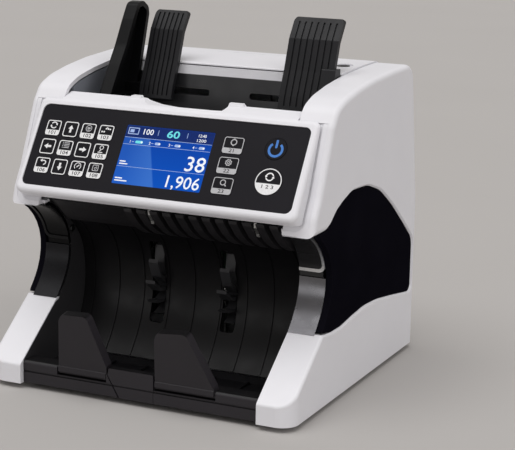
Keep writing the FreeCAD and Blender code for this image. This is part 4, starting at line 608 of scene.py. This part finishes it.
def icon_gear(p):
    teeth = []
    for k in range(16):
        r = 2.75 if k % 2 else 2.25
        a = math.radians(22.5 * k)
        teeth.append((r * math.cos(a), 2.3 + r * math.sin(a)))
    p.ring(teeth, disc(0, 2.3, 1.75, 16), grey_ink)
    p.ring(disc(0, 2.3, 1.15, 16), disc(0, 2.3, 0.6, 16), grey_ink)


def icon_lens(p):
    p.ring(disc(-0.1, 2.6, 2.25), disc(-0.1, 2.6, 1.6), grey_ink)
    p.stroke([(1.5, 1.1), (2.6, -0.2)], 0.85, grey_ink)


ICONS = {
    "key_1_1": ("101", icon_cycle), "key_1_2": ("", lambda p: arrow(p, 90, white_ink)), "key_1_3": ("102", icon_ring_tray),
    "key_1_4": ("103", icon_blocks), "key_2_1": ("", lambda p: arrow(p, 180, white_ink)), "key_2_2": ("104", icon_list),
    "key_2_3": ("", lambda p: arrow(p, 0, white_ink)), "key_2_4": ("105", icon_sum), "key_3_1": ("106", icon_back),
    "key_3_2": ("", lambda p: arrow(p, -90, white_ink)), "key_3_3": ("107", icon_gauge), "key_3_4": ("108", icon_page),
}
for nm, (label, icon) in ICONS.items():
    key_face(nm, "cap_" + nm, 6.1, 6.2, label, icon)
for nm, label, icon in (("side_key_1", "21", icon_ring), ("side_key_2", "22", icon_gear), ("side_key_3", "23", icon_lens)):
    key_face(nm, "cap_" + nm, 7.9, 6.5, label, icon, border=grey_ink, thin=0.6, strip=0.33)

# power symbol
p = Print("legend_power_key", key_top("power_key"), "cap_power_key", "key_plastic")
p.stroke(arc(0, -0.6, 5.0, 128, 412, 40), 1.75, blue_glow)
p.fill(rrect(-0.85, 0.6, 0.85, 6.9, 0.6), blue_glow)
p.done()

# restart key: ring, lower segment with plain figures, and two turning arrows
p = Print("legend_restart_key", key_top("restart_key"), "cap_restart_key", "restart_plastic")
p.ring(disc(0, 0, 9.95, 64), disc(0, 0, 9.2, 64), white_ink)
cut = -1.5
a0 = math.degrees(math.asin(cut / 9.5))
p.fill(arc(0, 0, 9.5, 180 - a0, 360 + a0, 40), white_ink, hi=0.055)
p.text("1 2 3", 2.6, 0.0, -5.2, black_ink, lo=0.05, hi=0.075, wide=1.35, heavy=0.012)
p.stroke(arc(0.2, 3.6, 2.75, 20, 165), 0.95, white_ink)
p.stroke(arc(0.2, 3.6, 2.75, 200, 345), 0.95, white_ink)
head(p, 0.2, 3.6, 2.75, 165, 2.1, white_ink, turn=1)
head(p, 0.2, 3.6, 2.75, 345, 2.1, white_ink, turn=1)
p.done()

# ------------------------------------------------------------- display image
p = Print("display_image", on_panel(0, 0, -0.25), "machine", "display")
p.fill(rrect(-34.8, 12.7, 35.6, 21.8, 0.3), screen_navy, hi=0.02)
for v0, v1 in ((12.6, 12.6), (7.1, 7.1), (-10.3, -10.3)):
    p.stroke([(-34.8, v0), (35.6, v1)], 0.32 if v0 > 0 else 0.3, screen_soft, hi=0.03)
p.ring(rrect(-33.4, 15.0, -24.6, 20.4, 0.4), rrect(-32.7, 15.7, -25.3, 19.7, 0.2), screen_soft, lo=0.02, hi=0.04)
p.fill(rrect(-31.8, 16.5, -28.6, 18.9, 0.2), screen_soft, lo=0.02, hi=0.04)
p.text("100", 4.2, -17.3, 15.8, screen_white, lo=0.02, hi=0.04, wide=1.05, heavy=0.01)
p.text("60", 5.6, 3.4, 15.0, screen_cyan, lo=0.02, hi=0.04, wide=1.35, heavy=0.02)
for u0 in (-8.8, 14.8):
    p.stroke([(u0, 15.8), (u0, 19.9)], 0.4, screen_soft, lo=0.02, hi=0.04)
p.text("12:45", 2.2, 26.4, 17.7, screen_white, lo=0.02, hi=0.04, heavy=0.01)
p.text("1200", 2.2, 26.4, 14.0, screen_white, lo=0.02, hi=0.04, wide=1.3, heavy=0.01)
for i, (u0, wide) in enumerate(((-25.4, 6.2), (-9.4, 4.6), (6.6, 4.9), (26.0, 4.8))):
    p.text(str(i + 1), 2.1, u0 - 4.2, 8.3, screen_white, hi=0.03, heavy=0.01)
    p.stroke([(u0 - 2.9, 9.3), (u0 - 1.2, 9.3)], 0.5, screen_soft, hi=0.03)
    p.fill(rrect(u0, 8.3, u0 + wide, 10.4, 1.0), screen_cyan if i == 0 else screen_soft, hi=0.03)
    p.fill(disc(u0 + wide - 1.05, 9.35, 0.75, 14), screen_white, lo=0.03, hi=0.04)
p.fill(rrect(-33.6, -8.8, -26.6, -7.9, 0.4), screen_white, hi=0.03)
p.fill(rrect(-33.6, -6.9, -28.6, -6.0, 0.4), screen_white, hi=0.03)
p.fill(rrect(-33.6, -21.9, -23.4, -21.0, 0.4), screen_white, hi=0.03)
p.fill(rrect(-33.6, -20.0, -27.6, -19.1, 0.4), screen_white, hi=0.03)
p.text("38", 11.2, 35.0, -8.9, screen_white, hi=0.04, align="RIGHT", wide=1.04, heavy=0.004, lean=0.03)
p.text("1,906", 9.2, 34.6, -22.6, screen_white, hi=0.04, align="RIGHT", wide=1.0, heavy=0.004, lean=0.03)
p.done()

# --------------------------------------- small white pieces and tabs in the mouth
comb_lo, comb_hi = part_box("exit_comb")
PITCH = 10.55 * MM
FIRST = comb_hi[0] - 0.05 * MM - 6.4 * MM - 11 * PITCH      # left edge of the first rib


def slab(name, corners, m, body):
    """Closed prism from two matching loops of points."""
    a, b = corners
    k = len(a)
    faces = [tuple(range(k))[::-1], tuple(range(k, 2 * k))]
    faces += [(i, (i + 1) % k, k + (i + 1) % k, k + i) for i in range(k)]
    me = bpy.data.meshes.new(name)
    me.from_pydata([tuple(q) for q in a + b], [], faces)
    me.materials.append(m)
    me.validate()
    import bmesh
    bm = bmesh.new()
    bm.from_mesh(me)
    bmesh.ops.recalc_face_normals(bm, faces=bm.faces)
    bm.to_mesh(me)
    bm.free()
    o = bpy.data.objects.new(name, me)
    scene.collection.objects.link(o)
    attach(o, body)
    return o


def yz(y, z):
    """Position in the side view, given from the front of the ribs (mm back, mm up from the ribs' lowest point)."""
    return comb_lo[1] + (y + 0.6) * MM, comb_lo[2] + z * MM


# two sprung metal fingers that hang between the ribs
for k, gap_index in enumerate((1, 9)):
    x0 = FIRST + gap_index * PITCH + 6.4 * MM + 0.8 * MM
    x1 = x0 + 2.6 * MM
    line = [(3.2, 24.6), (4.4, 20.6), (8.2, 15.6), (9.4, 13.2)]
    loops = []
    for x in (x0, x1):
        lp = [Vector((x,) + yz(y, z)) for y, z in line] + [Vector((x,) + yz(y + 0.55, z + 0.25)) for y, z in reversed(line)]
        loops.append(lp)
    slab("mouth_finger_%d" % (k + 1), loops, zinc, "machine")

# small white pieces on the undersides of five rib ends
for k, (rib, a, b) in enumerate(((2, 0.3, 2.1), (2, 4.4, 6.1), (9, 2.0, 4.6), (10, 4.0, 6.0), (11, 1.6, 4.8))):
    x0, x1 = FIRST + rib * PITCH + a * MM, FIRST + rib * PITCH + b * MM
    lo2, hi2 = (19.2, 6.6), (20.8, 5.7)
    loops = []
    for x in (x0, x1):
        loops.append([Vector((x,) + yz(*lo2)), Vector((x,) + yz(*hi2)), Vector((x,) + yz(hi2[0], hi2[1] + 1.2)), Vector((x,) + yz(lo2[0], lo2[1] + 1.2))])
    slab("rib_marker_%d" % (k + 1), loops, marker, "machine")

# ------------------------------------------------------------------ lighting
world = bpy.data.worlds.new("studio")
scene.world = world
world.use_nodes = True
world.node_tree.nodes["Background"].inputs["Color"].default_value = (0.400, 0.385, 0.375, 1)
world.node_tree.nodes["Background"].inputs["Strength"].default_value = 1.0
scene.view_settings.view_transform = "Standard"


def sun(name, az, el, energy, angle, colour=(1, 1, 1)):
    """Light from a direction: az as the viewing angle it comes from, el above the table."""
    d = bpy.data.lights.new(name, "SUN")
    d.energy = energy
    d.angle = math.radians(angle)
    d.color = colour
    o = bpy.data.objects.new(name, d)
    a, e = math.radians(az), math.radians(el)
    came = Vector((math.sin(a) * math.cos(e), -math.cos(a) * math.cos(e), math.sin(e)))
    o.rotation_euler = came.to_track_quat("Z", "Y").to_euler()
    scene.collection.objects.link(o)
    return o


sun("key_light", -28, 74, 1.52, 50)
sun("fill_light", 62, 36, 0.70, 70)
sun("low_card", -25, 9, 0.13, 18)

# --------------------------------------------------------------------- stage
me = bpy.data.meshes.new("floor")
me.from_pydata([(-40, -40, 0), (40, -40, 0), (40, 40, 0), (-40, 40, 0)], [], [(0, 1, 2, 3)])
floor = bpy.data.objects.new("floor", me)
scene.collection.objects.link(floor)
n = Net("floor_matte")
n.link(n.mix(n.ramp(n.noise(3.0, 2.0), 0.0, 1.0, 0.3, 0.7), (0.458, 0.441, 0.428), (0.466, 0.449, 0.436)), n.b.inputs["Base Color"])
n.b.inputs["Roughness"].default_value = 0.9
n.b.inputs["Specular IOR Level"].default_value = 0.1
me.materials.append(n.m)

# -------------------------------------------------------------------- camera
AZ, EL, ROLL = math.radians(24.78), math.radians(12.896), math.radians(1.0)
cam_data = bpy.data.cameras.new("camera")
cam_data.sensor_width = 36.0
cam_data.lens = 118.83
cam_data.clip_start = 0.05
cam_data.clip_end = 200.0
cam = bpy.data.objects.new("camera", cam_data)
scene.collection.objects.link(cam)
right = Vector((math.cos(AZ), math.sin(AZ), 0))
up = Vector((-math.sin(AZ) * math.sin(EL), math.cos(AZ) * math.sin(EL), math.cos(EL)))
back = right.cross(up)
x_axis = right * math.cos(ROLL) + up * math.sin(ROLL)
y_axis = up * math.cos(ROLL) - right * math.sin(ROLL)
from mathutils import Matrix
cam.matrix_world = Matrix((
    (x_axis.x, y_axis.x, back.x, 0.56374),
    (x_axis.y, y_axis.y, back.y, -1.134775),
    (x_axis.z, y_axis.z, back.z, 0.40195),
    (0, 0, 0, 1)))
scene.camera = cam
